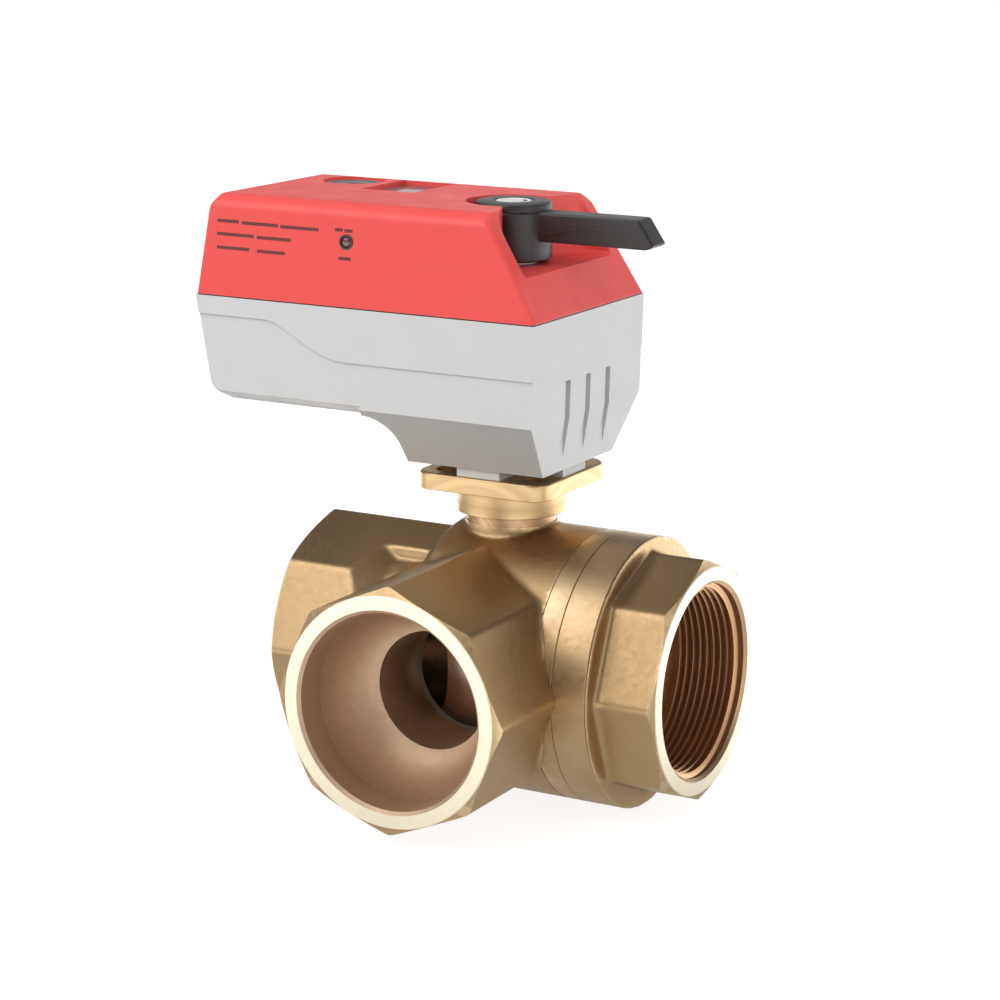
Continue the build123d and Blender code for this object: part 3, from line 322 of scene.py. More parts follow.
# %% Group: worn edges
worn, given, put = new_group("worn edges", {"Width": 0.0006, "Amount": 0.5}, ["Mask"])
rounded = node(worn, "Bevel", {"Radius": given["Width"]}, samples=4).outputs[0]
true_normal = node(worn, "NewGeometry").outputs["Normal"]
agreement = node(worn, "VectorMath", {0: rounded, 1: true_normal}, operation="DOT_PRODUCT").outputs["Value"]
nearness = spread(worn, agreement, 0.995, 0.86)
breakup = node(worn, "TexNoise", {"Vector": node(worn, "TexCoord").outputs["Object"], "Scale": 420.0,
                                  "Detail": 3.0}).outputs[0]
broken = maths(worn, "MULTIPLY", nearness, spread(worn, breakup, 0.3, 0.62), clamp=True)
worn.links.new(maths(worn, "MULTIPLY", broken, given["Amount"], clamp=True), put["Mask"])
print("group", worn.name)

# %% [markdown]
# Dust lies on what faces up. The normal's height says how level the surface is, and a
# patchy noise thins the layer out.

# %% Group: settled dust
dust, given, put = new_group("settled dust", {"Amount": 0.5}, ["Mask"])
facing = node(dust, "SeparateXYZ", {0: node(dust, "NewGeometry").outputs["Normal"]}).outputs["Z"]
level = spread(dust, facing, 0.55, 1.0)
patchy = node(dust, "TexNoise", {"Vector": node(dust, "TexCoord").outputs["Object"], "Scale": 70.0,
                                 "Detail": 5.0, "Roughness": 0.65}).outputs[0]
layer = maths(dust, "MULTIPLY", level, spread(dust, patchy, 0.2, 0.75, 0.35, 1.0), clamp=True)
dust.links.new(maths(dust, "MULTIPLY", layer, given["Amount"], clamp=True), put["Mask"])
print("group", dust.name)

# %% [markdown]
# A lathe leaves fine rings. Taking each point's distance from the part's axis, plus its
# place along the axis, gives one number that steps over rings on a flat face and over
# turns on a cylinder. A one-dimensional noise of that number is the tool's track.

# %% Group: lathe marks
lathe, given, put = new_group("lathe marks", {"Axis": (1.0, 0.0, 0.0), "Per metre": 4200.0},
                              ["Height", "Shade"])
here = node(lathe, "TexCoord").outputs["Object"]
along = node(lathe, "VectorMath", {0: here, 1: given["Axis"]}, operation="DOT_PRODUCT").outputs["Value"]
on_axis = node(lathe, "VectorMath", {0: given["Axis"], "Scale": along}, operation="SCALE").outputs[0]
off_axis = node(lathe, "VectorMath", {0: here, 1: on_axis}, operation="DISTANCE").outputs["Value"]
track = maths(lathe, "ADD", off_axis, along)
turns = maths(lathe, "MULTIPLY", track, given["Per metre"])
ring = node(lathe, "TexNoise", {"W": turns, "Scale": 1.0, "Detail": 2.0}, noise_dimensions="1D")
broad = node(lathe, "TexNoise", {"W": maths(lathe, "MULTIPLY", turns, 0.16), "Scale": 1.0, "Detail": 2.0},
             noise_dimensions="1D")
lathe.links.new(ring.outputs[0], put["Height"])
lathe.links.new(broad.outputs[0], put["Shade"])
print("group", lathe.name)

# %% [markdown]
# ## Finishes
# Three families cover the valve. A metal takes its colour from two close tones, and its
# relief from grain or from lathe marks. A moulding has grain, pale worn edges and dust.
# The clear and printed parts are made on their own further down.

# %% Shared steps of a material


def blank(name):
    """A new material's node tree with its Principled shader."""
    material = bpy.data.materials.new(name)
    material.use_nodes = True
    return material, material.node_tree, material.node_tree.nodes["Principled BSDF"]


def effect(tree, group, **values):
    """Places a shader group in a material with its own values."""
    placed = tree.nodes.new("ShaderNodeGroup")
    placed.node_tree = group
    for key, value in values.items():
        placed.inputs[key.replace("_", " ")].default_value = value
    return placed.outputs


def blend_colour(tree, share, first, second):
    """A colour between two, by a share from 0 to 1."""
    mixed = node(tree, "Mix", {0: share}, data_type="RGBA")
    for socket, colour in ((mixed.inputs[6], first), (mixed.inputs[7], second)):
        if isinstance(colour, bpy.types.NodeSocket):
            tree.links.new(colour, socket)
        else:
            socket.default_value = (*colour, 1.0)
    return mixed.outputs[2]


def relief(tree, shader, height, strength, depth):
    """Turns a height pattern into the shader's normal."""
    bump = node(tree, "Bump", {"Height": height, "Strength": strength, "Distance": depth})
    tree.links.new(bump.outputs[0], shader.inputs["Normal"])


# %% The metal and the moulded families


def metal(name, light, dark, gloss, scale=1500.0, depth=0.012 * MM, wear=0.35, axis=None):
    """A metal: gloss is its roughness range; with an axis it has lathe marks in place of grain."""
    material, tree, shader = blank(name)
    if axis:
        pattern = effect(tree, lathe, Axis=AXES[axis], Per_metre=scale)
    else:
        pattern = effect(tree, grain, Scale=scale)
    tone = spread(tree, pattern["Shade"], 0.3, 0.7)
    edge = effect(tree, worn, Width=0.5 * MM, Amount=wear)["Mask"]
    bright = [min(1.0, channel * 1.25) for channel in light]
    colour = blend_colour(tree, edge, blend_colour(tree, tone, light, dark), bright)
    tree.links.new(colour, shader.inputs["Base Color"])
    dull = spread(tree, pattern["Shade"], 0.25, 0.75, gloss[0], gloss[1])
    polish = maths(tree, "MULTIPLY", edge, 0.12)
    tree.links.new(maths(tree, "SUBTRACT", dull, polish), shader.inputs["Roughness"])
    shader.inputs["Metallic"].default_value = 1.0
    relief(tree, shader, pattern["Height"], 0.6, depth)
    return material


def moulding(name, colour, deep, gloss, scale=2600.0, depth=0.02 * MM, wear=0.25, dusty=0.25, pale=None):
    """A moulded plastic or rubber, with grain, worn edges and a little dust."""
    material, tree, shader = blank(name)
    pattern = effect(tree, grain, Scale=scale)
    tone = spread(tree, pattern["Shade"], 0.3, 0.7)
    edge = effect(tree, worn, Width=0.45 * MM, Amount=wear)["Mask"]
    pale = pale or [channel + (1.0 - channel) * 0.35 for channel in colour]
    worn_colour = blend_colour(tree, edge, blend_colour(tree, tone, colour, deep), pale)
    layer = effect(tree, dust, Amount=dusty)["Mask"]
    dust_tint = [0.55 + channel * 0.3 for channel in colour]
    tree.links.new(blend_colour(tree, layer, worn_colour, dust_tint), shader.inputs["Base Color"])
    dull = spread(tree, pattern["Shade"], 0.25, 0.75, gloss[0], gloss[1])
    tree.links.new(maths(tree, "ADD", dull, maths(tree, "MULTIPLY", layer, 0.3)), shader.inputs["Roughness"])
    shader.inputs["IOR"].default_value = 1.49
    relief(tree, shader, pattern["Height"], 0.5, depth)
    return material


# %% [markdown]
# The casting is shot-blasted brass: satin and slightly pitted. Its colour is darkened in
# the hollows, a painted shade, and lightened on the ridges, a painted highlight. The
# Pointiness of its dense mesh tells ridges from hollows, which a plain noise can't.

# %% Finish: cast brass
BRASS_LIGHT = (0.53, 0.36, 0.19)
BRASS_DARK = (0.46, 0.305, 0.158)
# the next two colours are painted light: a painted shade for the hollows and a painted highlight for the
# ridges
BRASS_PAINTED_SHADE = (0.28, 0.175, 0.095)
BRASS_PAINTED_HIGHLIGHT = (0.84, 0.66, 0.43)


def cast_brass(name):
    """Satin blasted brass, with a painted shade in the hollows and a painted highlight on the ridges."""
    material, tree, shader = blank(name)
    pits = effect(tree, grain, Scale=1900.0)
    blotch = effect(tree, grain, Scale=620.0)
    body = blend_colour(tree, spread(tree, blotch["Shade"], 0.32, 0.68), BRASS_LIGHT, BRASS_DARK)
    bend = node(tree, "NewGeometry").outputs["Pointiness"]
    # painted shade: the hollows that Pointiness finds are given a darker colour
    hollow = spread(tree, bend, 0.5, 0.44)
    # painted highlight: the ridges that Pointiness finds are given a lighter colour and a little less
    # roughness
    ridge_highlight = maths(tree, "MULTIPLY", spread(tree, bend, 0.512, 0.56), spread(tree, pits["Shade"], 0.3, 0.7),
                  clamp=True)
    body = blend_colour(tree, maths(tree, "MULTIPLY", hollow, 0.75), body, BRASS_PAINTED_SHADE)
    body = blend_colour(tree, maths(tree, "MULTIPLY", ridge_highlight, 0.7), body, BRASS_PAINTED_HIGHLIGHT)
    tree.links.new(body, shader.inputs["Base Color"])
    dull = spread(tree, blotch["Height"], 0.25, 0.75, 0.34, 0.50)
    polish = maths(tree, "MULTIPLY", ridge_highlight, 0.1)
    tree.links.new(maths(tree, "SUBTRACT", dull, polish), shader.inputs["Roughness"])
    shader.inputs["Metallic"].default_value = 1.0
    relief(tree, shader, maths(tree, "ADD", pits["Height"], maths(tree, "MULTIPLY", blotch["Height"], 0.5)),
           0.55, 0.035 * MM)
    return material


# %% [markdown]
# ## One finish for each of the record's slots
# The table below is the valve's bill of materials. Turned brass looks different where it
# is freshly faced, bored or dished, so those places get a finish of their own under it.
# Some colours hold painted light: the ball and the seat are dark as a painted shade for
# the inside of the ports, the faced mouths are near white partly as a painted highlight,
# and the neck flange's brass is darkened as a painted shade.

# %% Make every finish
finishes = {
    "cast_brass": cast_brass("cast_brass"),
    "turned_brass": metal("turned_brass", (0.70, 0.44, 0.25), (0.60, 0.36, 0.19), (0.28, 0.40),
                          scale=3600.0, depth=0.006 * MM, axis="X"),
    # painted shade: the ball's dark bronze stands for the shade inside the ports
    "ball_plating": metal("ball_plating", (0.34, 0.27, 0.20), (0.26, 0.20, 0.145), (0.22, 0.34), scale=700.0,
                          depth=0.003 * MM),
    # painted shade: the seat's dark brown stands for the shade inside the ports
    "seat_plastic": moulding("seat_plastic", (0.30, 0.27, 0.23), (0.24, 0.215, 0.18), (0.35, 0.5), dusty=0.0),
    "seal_rubber": moulding("seal_rubber", (0.018, 0.018, 0.018), (0.03, 0.029, 0.027), (0.5, 0.7),
                            scale=1800.0, wear=0.12, dusty=0.2),
    "stem_steel": metal("stem_steel", (0.62, 0.61, 0.59), (0.48, 0.47, 0.45), (0.2, 0.34), scale=5200.0,
                        axis="Z"),
    "zinc_steel": metal("zinc_steel", (0.72, 0.72, 0.69), (0.56, 0.57, 0.52), (0.26, 0.42), scale=900.0),
    "housing_plastic": moulding("housing_plastic", (0.68, 0.68, 0.675), (0.665, 0.665, 0.66), (0.36, 0.42),
                                depth=0.012 * MM, wear=0.18, dusty=0.04),
    "cover_plastic": moulding("cover_plastic", (0.90, 0.085, 0.075), (0.84, 0.075, 0.068), (0.38, 0.50),
                              pale=(0.95, 0.24, 0.21), depth=0.012 * MM, dusty=0.05, wear=0.3),
    "lever_plastic": moulding("lever_plastic", (0.020, 0.019, 0.018), (0.028, 0.026, 0.024), (0.34, 0.48),
                              pale=(0.10, 0.095, 0.09), dusty=0.22, wear=0.5),
    "dial_plastic": moulding("dial_plastic", (0.78, 0.78, 0.76), (0.70, 0.70, 0.67), (0.3, 0.42), dusty=0.1),
    "button_plastic": moulding("button_plastic", (0.115, 0.085, 0.088), (0.09, 0.068, 0.07), (0.4, 0.52),
                               dusty=0.35),
    "cross_plastic": moulding("cross_plastic", (0.70, 0.70, 0.66), (0.60, 0.60, 0.57), (0.4, 0.55)),
    "gear_plastic": moulding("gear_plastic", (0.75, 0.73, 0.64), (0.66, 0.63, 0.54), (0.28, 0.4), dusty=0.0),
    "gear_steel": metal("gear_steel", (0.52, 0.51, 0.50), (0.38, 0.37, 0.36), (0.24, 0.4), scale=4600.0,
                        axis="Z"),
    "plate_steel": metal("plate_steel", (0.64, 0.64, 0.63), (0.52, 0.52, 0.50), (0.28, 0.42), scale=1100.0),
    "motor_can": metal("motor_can", (0.66, 0.66, 0.66), (0.52, 0.52, 0.53), (0.18, 0.34), scale=1300.0),
    "board_green": moulding("board_green", (0.016, 0.13, 0.055), (0.010, 0.085, 0.035), (0.22, 0.34),
                            scale=900.0, pale=(0.45, 0.40, 0.22), dusty=0.1),
    "chip_black": moulding("chip_black", (0.014, 0.014, 0.015), (0.022, 0.022, 0.022), (0.45, 0.6)),
    "terminal_plastic": moulding("terminal_plastic", (0.03, 0.19, 0.075), (0.02, 0.14, 0.055), (0.32, 0.45)),
    "bush_bronze": metal("bush_bronze", (0.60, 0.38, 0.19), (0.44, 0.26, 0.12), (0.34, 0.5), scale=2600.0),
}
# the faced mouths are paler brass, and their near-white colour with less metal is also a painted highlight
mouth_brass_highlit = metal("mouth_brass_highlit", (1.0, 0.92, 0.70), (0.97, 0.87, 0.64), (0.38, 0.46), scale=9000.0,
                    depth=0.004 * MM, wear=0.1)
mouth_brass_highlit.node_tree.nodes["Principled BSDF"].inputs["Metallic"].default_value = 0.55
bore_brass = metal("bore_brass", (0.62, 0.41, 0.25), (0.54, 0.345, 0.20), (0.34, 0.46), scale=2400.0,
                   depth=0.008 * MM, axis="X")
bowl_brass = metal("bowl_brass", (0.66, 0.48, 0.335), (0.62, 0.445, 0.305), (0.56, 0.62), scale=9000.0,
                   depth=0.002 * MM, wear=0.1)
# painted shade: this brass is darkened to take down the key light's highlight on the neck flange
neck_brass_shaded = metal("neck_brass_shaded", (0.60, 0.42, 0.225), (0.56, 0.385, 0.20), (0.34, 0.42), scale=2600.0,
                   depth=0.006 * MM, axis="Z")
print(len(finishes), "finishes in the table")

# %% [markdown]
# The service window is smoked plastic that hides a board below it, and the status lens
# is tinted. Both are clear coats over a dark body here: the light that matters is what
# their polished faces throw back, and a thick dark glass would cost time and show no more.

# %% Finish: smoked window and tinted lens


def clear_tint(name, colour, deep, rough):
    """A dark tinted plastic under a polished face."""
    material, tree, shader = blank(name)
    pattern = effect(tree, grain, Scale=500.0)
    colour_out = blend_colour(tree, spread(tree, pattern["Shade"], 0.3, 0.7), colour, deep)
    layer = effect(tree, dust, Amount=0.30)["Mask"]
    tree.links.new(blend_colour(tree, layer, colour_out, (0.45, 0.36, 0.35)), shader.inputs["Base Color"])
    tree.links.new(spread(tree, layer, 0.0, 0.3, rough, 0.38), shader.inputs["Roughness"])
    shader.inputs["Coat Weight"].default_value = 0.6
    shader.inputs["Coat Roughness"].default_value = 0.06
    relief(tree, shader, pattern["Shade"], 0.15, 0.01 * MM)
    return material


finishes["window_plastic"] = clear_tint("window_plastic", (0.10, 0.062, 0.064), (0.075, 0.046, 0.048), 0.16)
finishes["lens_plastic"] = clear_tint("lens_plastic", (0.20, 0.05, 0.045), (0.12, 0.03, 0.03), 0.08)
print("clear finishes made")

# %% [markdown]
# ## Dress the CAD parts
# Each CAD node gets the finish of its slot in the record. Their shapes stay exactly as
# the frame gives them, so gears, springs, seals, screws and the circuit board only need
# their surfaces.

# %% Give each CAD node its finish
for row in frame["record"]["subparts"]:
    part = frame["nodes"][row["node"]]
    for material_slot in part.material_slots:
        material_slot.material = finishes[row["material_slot"]]
print("dressed", len(frame["nodes"]), "CAD nodes")


def finish_piece(piece, body, slot_name, *nodes, material=None, others=()):
    """Gives a new piece its finish, its body and the CAD nodes that it stands for."""
    for place, finish in enumerate([material or finishes[slot_name], *others]):
        if place < len(piece.data.materials):
            piece.data.materials[place] = finish
        else:
            piece.data.materials.append(finish)
    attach(piece, body)
    if nodes:
        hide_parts(*nodes)
    print(piece.name, len(piece.data.polygons), "faces")


# %% [markdown]
# ## The brass body
# The real body is forged, so its arms run into the barrel with soft radii and its ridges
# are blunt. Filleting those joints edge by edge is hard where an octagon meets a round
# barrel. Here the arms, barrel and neck are joined as plain stock, made one skin by a
# voxel remesh, and relaxed with a smooth modifier, which gives every joint its radius.

# %% Forge the body: join the stock
MOULD_CELL = 0.85 * MM
RAW_EXTRA = 4 * MM
valve_casting = rod("valve_casting", "X", PORT_A_X - RAW_EXTRA, -8 * MM, OCTAGON_CORNER_R, 8)
branch_stock = rod("branch_stock", "Y", BRANCH_Y - RAW_EXTRA, 0, OCTAGON_CORNER_R, 8)
barrel_stock = turned("barrel_stock", "X", [(-18.5 * MM, 0), (-18.5 * MM, BARREL_R - 3.2 * MM),
                                            (-15.3 * MM, BARREL_R), (BARREL_END_X + RAW_EXTRA, BARREL_R),
                                            (BARREL_END_X + RAW_EXTRA, 0)])

# %% [markdown]
# On each side of port A's arm the casting is hollowed to save metal, between a top and a
# bottom rib. A turned ring with the pocket's section, cut down to two side pieces by
# taking the ribs out of it, is the tool.

# %% Forge the body: hollow the sides of arm A
pocket_ring = turned("pocket_ring", "X", along_z([(-43, 38), (-33, 31.5), (-21, 31.5), (-21, 47), (-43, 47),
                                                  (-43, 38)]))
carve(pocket_ring, block("rib_keep", (-0.05, -13.5 * MM, -0.05), (0, 13.5 * MM, 0.05)))
carve(valve_casting, pocket_ring)
for stock in (branch_stock, barrel_stock):
    carve(valve_casting, stock, "UNION")
carve(valve_casting, rod("neck_stock", "Z", 30 * MM, 56 * MM, 14.1 * MM), "UNION")
print("raw body", len(valve_casting.data.polygons), "faces")

# %% Forge the body: one soft skin
use(valve_casting, "REMESH", mode="VOXEL", voxel_size=MOULD_CELL)
use(valve_casting, "SMOOTH", factor=0.5, iterations=9)
print("soft skin", len(valve_casting.data.polygons), "faces")

# %% [markdown]
# ## Machining
# The forging is then turned: mouth faces, cones, bores, the ball chamber and the socket
# for the end cap. Cutting after the remesh keeps these edges crisp beside the soft skin.
# A cut face takes its material from the tool. Each tool's faces are sorted by place, so
# the mouth's face comes out bright, partly from a painted highlight in its finish, the
# cone beside it satin, and the bore dull.

# %% Machine the body
SATIN, BRIGHT, DEEP, BOWL = range(4)
FACE_TOLERANCE = 0.3 * MM
CHAMFER = 1.0 * MM
RING_EDGE = 1.2 * MM


def open_slots(piece):
    """Gives a piece one empty material slot for each way that its brass is finished."""
    for finish in (SATIN, BRIGHT, DEEP, BOWL):
        piece.data.materials.append(None)


def faced(tool, axis, mouth_at, inside=DEEP):
    """Sorts a tool's cuts: bright on the mouth's face, satin outside it, and dull inside the bore."""
    open_slots(tool)
    for face in tool.data.polygons:
        place = face.center["XYZ".index(axis)]
        far = (face.center - AXES[axis] * place).length
        on_face = abs(place - mouth_at) < FACE_TOLERANCE
        face.material_index = BRIGHT if on_face else SATIN if far > THREAD_R + RING_EDGE else inside
    return tool


def mouth(face_x, inward, bore):
    """The section of a mouth: the waste round the cone, the face, the chamfer and the bore."""
    return [(face_x - inward * 8 * MM, 0), (face_x - inward * 8 * MM, CLEAR_R),
            (face_x + inward * MOUTH_CONE, CLEAR_R), (face_x + inward * MOUTH_CONE, MOUTH_CONE_R),
            (face_x + inward * 0.3 * MM, OCTAGON_FLAT_R), (face_x, OCTAGON_FLAT_R - 0.3 * MM),
            (face_x, bore + CHAMFER), (face_x + inward * CHAMFER, bore)]


open_slots(valve_casting)
line_bore = mouth(PORT_A_X, 1, THREAD_R) + along_z([
    (-42, 29.8), (-39, 18.2), (-26.6, 18.2), (-26.6, 21.5), (-21.4, 21.5), (-21.4, 31), (22, 31), (22, 35),
    (29.2, 35), (29.2, 41.95), (60, 41.95), (60, 0)])
carve(valve_casting, faced(turned("line_tool", "X", line_bore), "X", PORT_A_X))
branch_bore = mouth(BRANCH_Y, 1, THREAD_R) + along_z([
    (-65.5, 29.1), (-45, 29.05), (-45, 21.5), (-15, 21.5), (-15, 0)])
carve(valve_casting, faced(turned("branch_tool", "Y", branch_bore), "Y", BRANCH_Y, BOWL))
stem_bore = along_z([(20, 0), (20, 9.6), (35.3, 9.6), (35.3, 7.05), (47, 7.05), (47, 9.02), (54, 9.02),
                     (54, 11), (45.8, 11), (45.8, 13.9), (42.8, 13.9), (42.8, 40), (60, 40), (60, 0)])
carve(valve_casting, faced(turned("neck_tool", "Z", stem_bore), "Z", 54 * MM))
smooth(valve_casting, 40)
finish_piece(valve_casting, "root", "cast_brass", "valve_body", others=[mouth_brass_highlit, bore_brass, bowl_brass])
print("machined", len(valve_casting.data.polygons), "faces")

# %% [markdown]
# ## The end cap
# Port B's octagon belongs to a separate cap, screwed into the barrel with a round flange.
# It is forged and turned in the same two steps: soft skin first, crisp cuts second. The
# flange has a fine groove round it, and the joint with the barrel shows as a thin line.

# %% Forge and turn the end cap
CAP_FLANGE_X = 48 * MM
cap_casting = rod("cap_casting", "X", 40 * MM, PORT_B_X + RAW_EXTRA, OCTAGON_CORNER_R, 8)
carve(cap_casting, rod("flange_stock", "X", 18 * MM, CAP_FLANGE_X, BARREL_R + 0.4 * MM), "UNION")
use(cap_casting, "REMESH", mode="VOXEL", voxel_size=MOULD_CELL)
use(cap_casting, "SMOOTH", factor=0.5, iterations=9)
open_slots(cap_casting)
cap_outside = along_z([(12, 34.95), (24.4, 34.95), (24.4, 33.4), (26.8, 33.4), (26.8, 34.95), (29.2, 34.95),
                       (29.2, 41.5), (29.5, 41.8), (35.75, 41.8), (36, 41.45), (36.25, 41.8), (46.9, 41.8),
                       (47.5, 41.2), (47.5, 60), (12, 60), (12, 34.95)])
carve(cap_casting, faced(turned("flange_tool", "X", cap_outside), "X", PORT_B_X))
cap_bore = along_z([(10, 0), (10, 50), (22.1, 50), (22.1, 21.5), (26.6, 21.5), (26.6, 18.2), (40, 18.2),
                    (43, 29.8)])
cap_bore += reversed(mouth(PORT_B_X, -1, THREAD_R))
carve(cap_casting, faced(turned("cap_tool", "X", cap_bore), "X", PORT_B_X))
smooth(cap_casting, 40)
finish_piece(cap_casting, "root", "cast_brass", "end_cap", others=[mouth_brass_highlit, bore_brass, bowl_brass])

# %% [markdown]
# ## Pipe threads
# Both line ports have an inside pipe thread of eleven turns to the inch. A ridge's
# section is drawn once and swept round the bore with a screw modifier, which gives a
# true helix that catches the light the way a cut thread does.

# %% Cut the threads
PITCH = 25.4 * MM / 11
CREST_R = 28.33 * MM
TOOTH = [(-0.5, 0.06), (-0.42, 0.0), (-0.13, -0.86), (-0.07, -0.98),
         (0.07, -0.98), (0.13, -0.86), (0.42, 0.0), (0.5, 0.06)]


def pipe_thread(name, start_x, way, turns, node_name):
    """An inside thread from start_x inwards; way is 1 or -1 along X."""
    depth = THREAD_R - CREST_R
    section = [(start_x + place * PITCH, 0, THREAD_R + height * depth) for place, height in TOOTH]
    thread = chain(name, section)
    bpy.ops.mesh.edge_face_add()
    close_edit()
    use(thread, "SCREW", axis="X", screw_offset=way * PITCH, iterations=turns, steps=96, render_steps=96,
        use_merge_vertices=False)
    tidy_mesh(thread)
    smooth(thread, 35)
    finish_piece(thread, "root", "turned_brass")
    return thread


pipe_thread("thread_port_a", PORT_A_X + 2.0 * MM, 1, 9, "valve_body")
pipe_thread("thread_port_b", PORT_B_X - 2.0 * MM, -1, 9, "end_cap")

# %% [markdown]
# ## The branch's bowl
# The branch port has no thread: a smooth socket runs into a turned bowl that leads the
# water to the ball and ends in a crisp edge at the bore. The bowl's line lies between a
# straight cone and a quarter of an ellipse, so its section is worked out by a formula.

# %% Turn the bowl
BOWL_START_Y = BRANCH_Y + 10 * MM
BOWL_END_Y = -49 * MM
BOWL_LIP_R = 28.95 * MM
BOWL_STEPS = 20
BOWL_BELLY = 0.75


def bowl_line():
    """Points of the bowl, from the bore's edge back to the socket: part cone, part ellipse."""
    for step in range(BOWL_STEPS + 1):
        share = step / BOWL_STEPS
        angle = pi / 2 * share
        depth = BOWL_BELLY * cos(angle) + (1 - BOWL_BELLY) * (1 - share)
        width = BOWL_BELLY * sin(angle) + (1 - BOWL_BELLY) * share
        yield (BOWL_START_Y + (BOWL_END_Y - BOWL_START_Y) * depth, BORE_R + (BOWL_LIP_R - BORE_R) * width)


retainer_section = list(bowl_line()) + [(BOWL_START_Y, 29 * MM)] + along_z([
    (-45.05, 29), (-45.05, 21.4), (-26.55, 21.4), (-26.55, 18.2), (-49, 18.2)])
branch_bowl = turned("branch_bowl", "Y", retainer_section, steps=128)
smooth(branch_bowl, 40)
finish_piece(branch_bowl, "root", "turned_brass", "branch_retainer", material=bowl_brass)

# %% [markdown]
# ## Softened copies
# Some CAD parts have the right shape already and only lack the small radii that a mould
# or a deburring wheel leaves. A copy's loose triangles are merged, its flat areas are
# joined into single faces, and a bevel modifier rounds what is still sharp.

# %% Soften the mounting flange, the cross and the grommet
scene_collection = bpy.context.scene.collection


def softened(name, node_name, radius, segments=3):
    """A copy of a CAD part with small radii on its sharp edges."""
    source = frame["nodes"][node_name]
    piece = bpy.data.objects.new(name, source.data.copy())
    scene_collection.objects.link(piece)
    only(piece)
    bpy.ops.mesh.customdata_custom_splitnormals_clear()
    tidy_mesh(piece)
    edit(piece)
    bpy.ops.mesh.select_all(action="SELECT")
    bpy.ops.mesh.dissolve_limited(angle_limit=radians(0.4))
    close_edit()
    use(piece, "BEVEL", width=radius, segments=segments, limit_method="ANGLE", angle_limit=radians(38))
    smooth(piece)
    return piece


# the neck flange's darker brass is a painted shade
finish_piece(softened("neck_flange", "mounting_flange", 0.45 * MM), "root", "turned_brass",
             "mounting_flange", material=neck_brass_shaded)
finish_piece(softened("foot_cross_soft", "foot_cross", 0.35 * MM), "root", "cross_plastic", "foot_cross")
finish_piece(softened("cable_gland_soft", "cable_grommet", 0.3 * MM), "root", "seal_rubber", "cable_grommet")

# %% [markdown]
# ## The lower housing
# The light grey housing is one moulding with a raised band, a soft crease, a sloping
# foot and three finger grooves. Its CAD shape is exact, so it is softened as well, with
# the larger radius that a moulding of this size has.

# %% Soften the housing
grey_housing = softened("grey_housing", "lower_housing", 0.7 * MM, 4)
finish_piece(grey_housing, "root", "housing_plastic", "lower_housing")

# %% [markdown]
# ## The red cover
# The cover is a tapered box with wide chamfers along its top, a steep slope over port B,
# and a fan-shaped pocket for the lever. It starts as a thin plate with the seam's
# outline, and its top face is pushed up three times, each time fitted to a smaller
# rectangle. That keeps every wall one flat face, which a bevel can then round cleanly.

# %% Raise the cover's walls
cover_low, cover_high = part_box("upper_cover")
SEAM_Z = cover_low.z
TOP_Z = cover_high.z
LIP = 0.25 * MM
WALL = 2.5 * MM
# height above the CAD origin, left end, right end and half width of each level, in millimetres
COVER_LEVELS = [(136.0, -88.4, 10.96, 33.57), (138.6, -87.5, 9.41, 33.3), (140.8, -86.7, 8.3, 29.0)]


def raise_top(piece, before, after):
    """Pushes the top face up and fits it to the next level's rectangle."""
    rise = after[0] - before[0]
    pick_faces(piece, lambda face: face.normal.z > 0.9)
    bpy.ops.mesh.extrude_region_move(TRANSFORM_OT_translate={"value": (0, 0, rise)})
    old_middle, new_middle = (before[1] + before[2]) / 2, (after[1] + after[2]) / 2
    bpy.ops.transform.resize(value=((after[2] - after[1]) / (before[2] - before[1]), after[3] / before[3], 1),
                             center_override=(old_middle, 0, after[0]))
    bpy.ops.transform.translate(value=(new_middle - old_middle, 0, 0))
    close_edit()


def cover_form(name, inset):
    """The cover's outside as a solid, or its inside when every wall is moved inwards."""
    base = (SEAM_Z + LIP, cover_low.x + inset, cover_high.x - inset, cover_high.y - inset)
    form = block(name, (base[1], -base[3], SEAM_Z - inset), (base[2], base[3], base[0]))
    levels = [base] + [(z * MM - inset, left * MM + inset, right * MM - 1.2 * inset, half * MM - inset)
                       for z, left, right, half in COVER_LEVELS]
    for before, after in zip(levels, levels[1:]):
        raise_top(form, before, after)
    return form


red_cover = cover_form("red_cover", 0.0)
pick_edges(red_cover, lambda one, other: min(one.z, other.z) > 137 * MM or abs(one.z - other.z) > 0.1 * MM)
bpy.ops.mesh.bevel(offset=1.7 * MM, segments=5, affect="EDGES")
close_edit()
tidy_mesh(red_cover)
print("cover shell", len(red_cover.data.polygons), "faces")

# %% [markdown]
# The pocket is a tool of its own: a fan outline, round behind the hub and flared towards
# the lever's two end positions. Its lower edge and its outer corners are rounded before
# it cuts, so that the pocket's floor and cheeks come out soft.

# %% Shape the pocket tool
POCKET_FLOOR_Z = 122.3 * MM
POCKET_R = 14.7 * MM
FLARE = radians(75)
FLARE_X, FLARE_Y = 10 * MM, 28.1 * MM
POCKET_FAR_X = 40 * MM
ARC_STEPS = 28


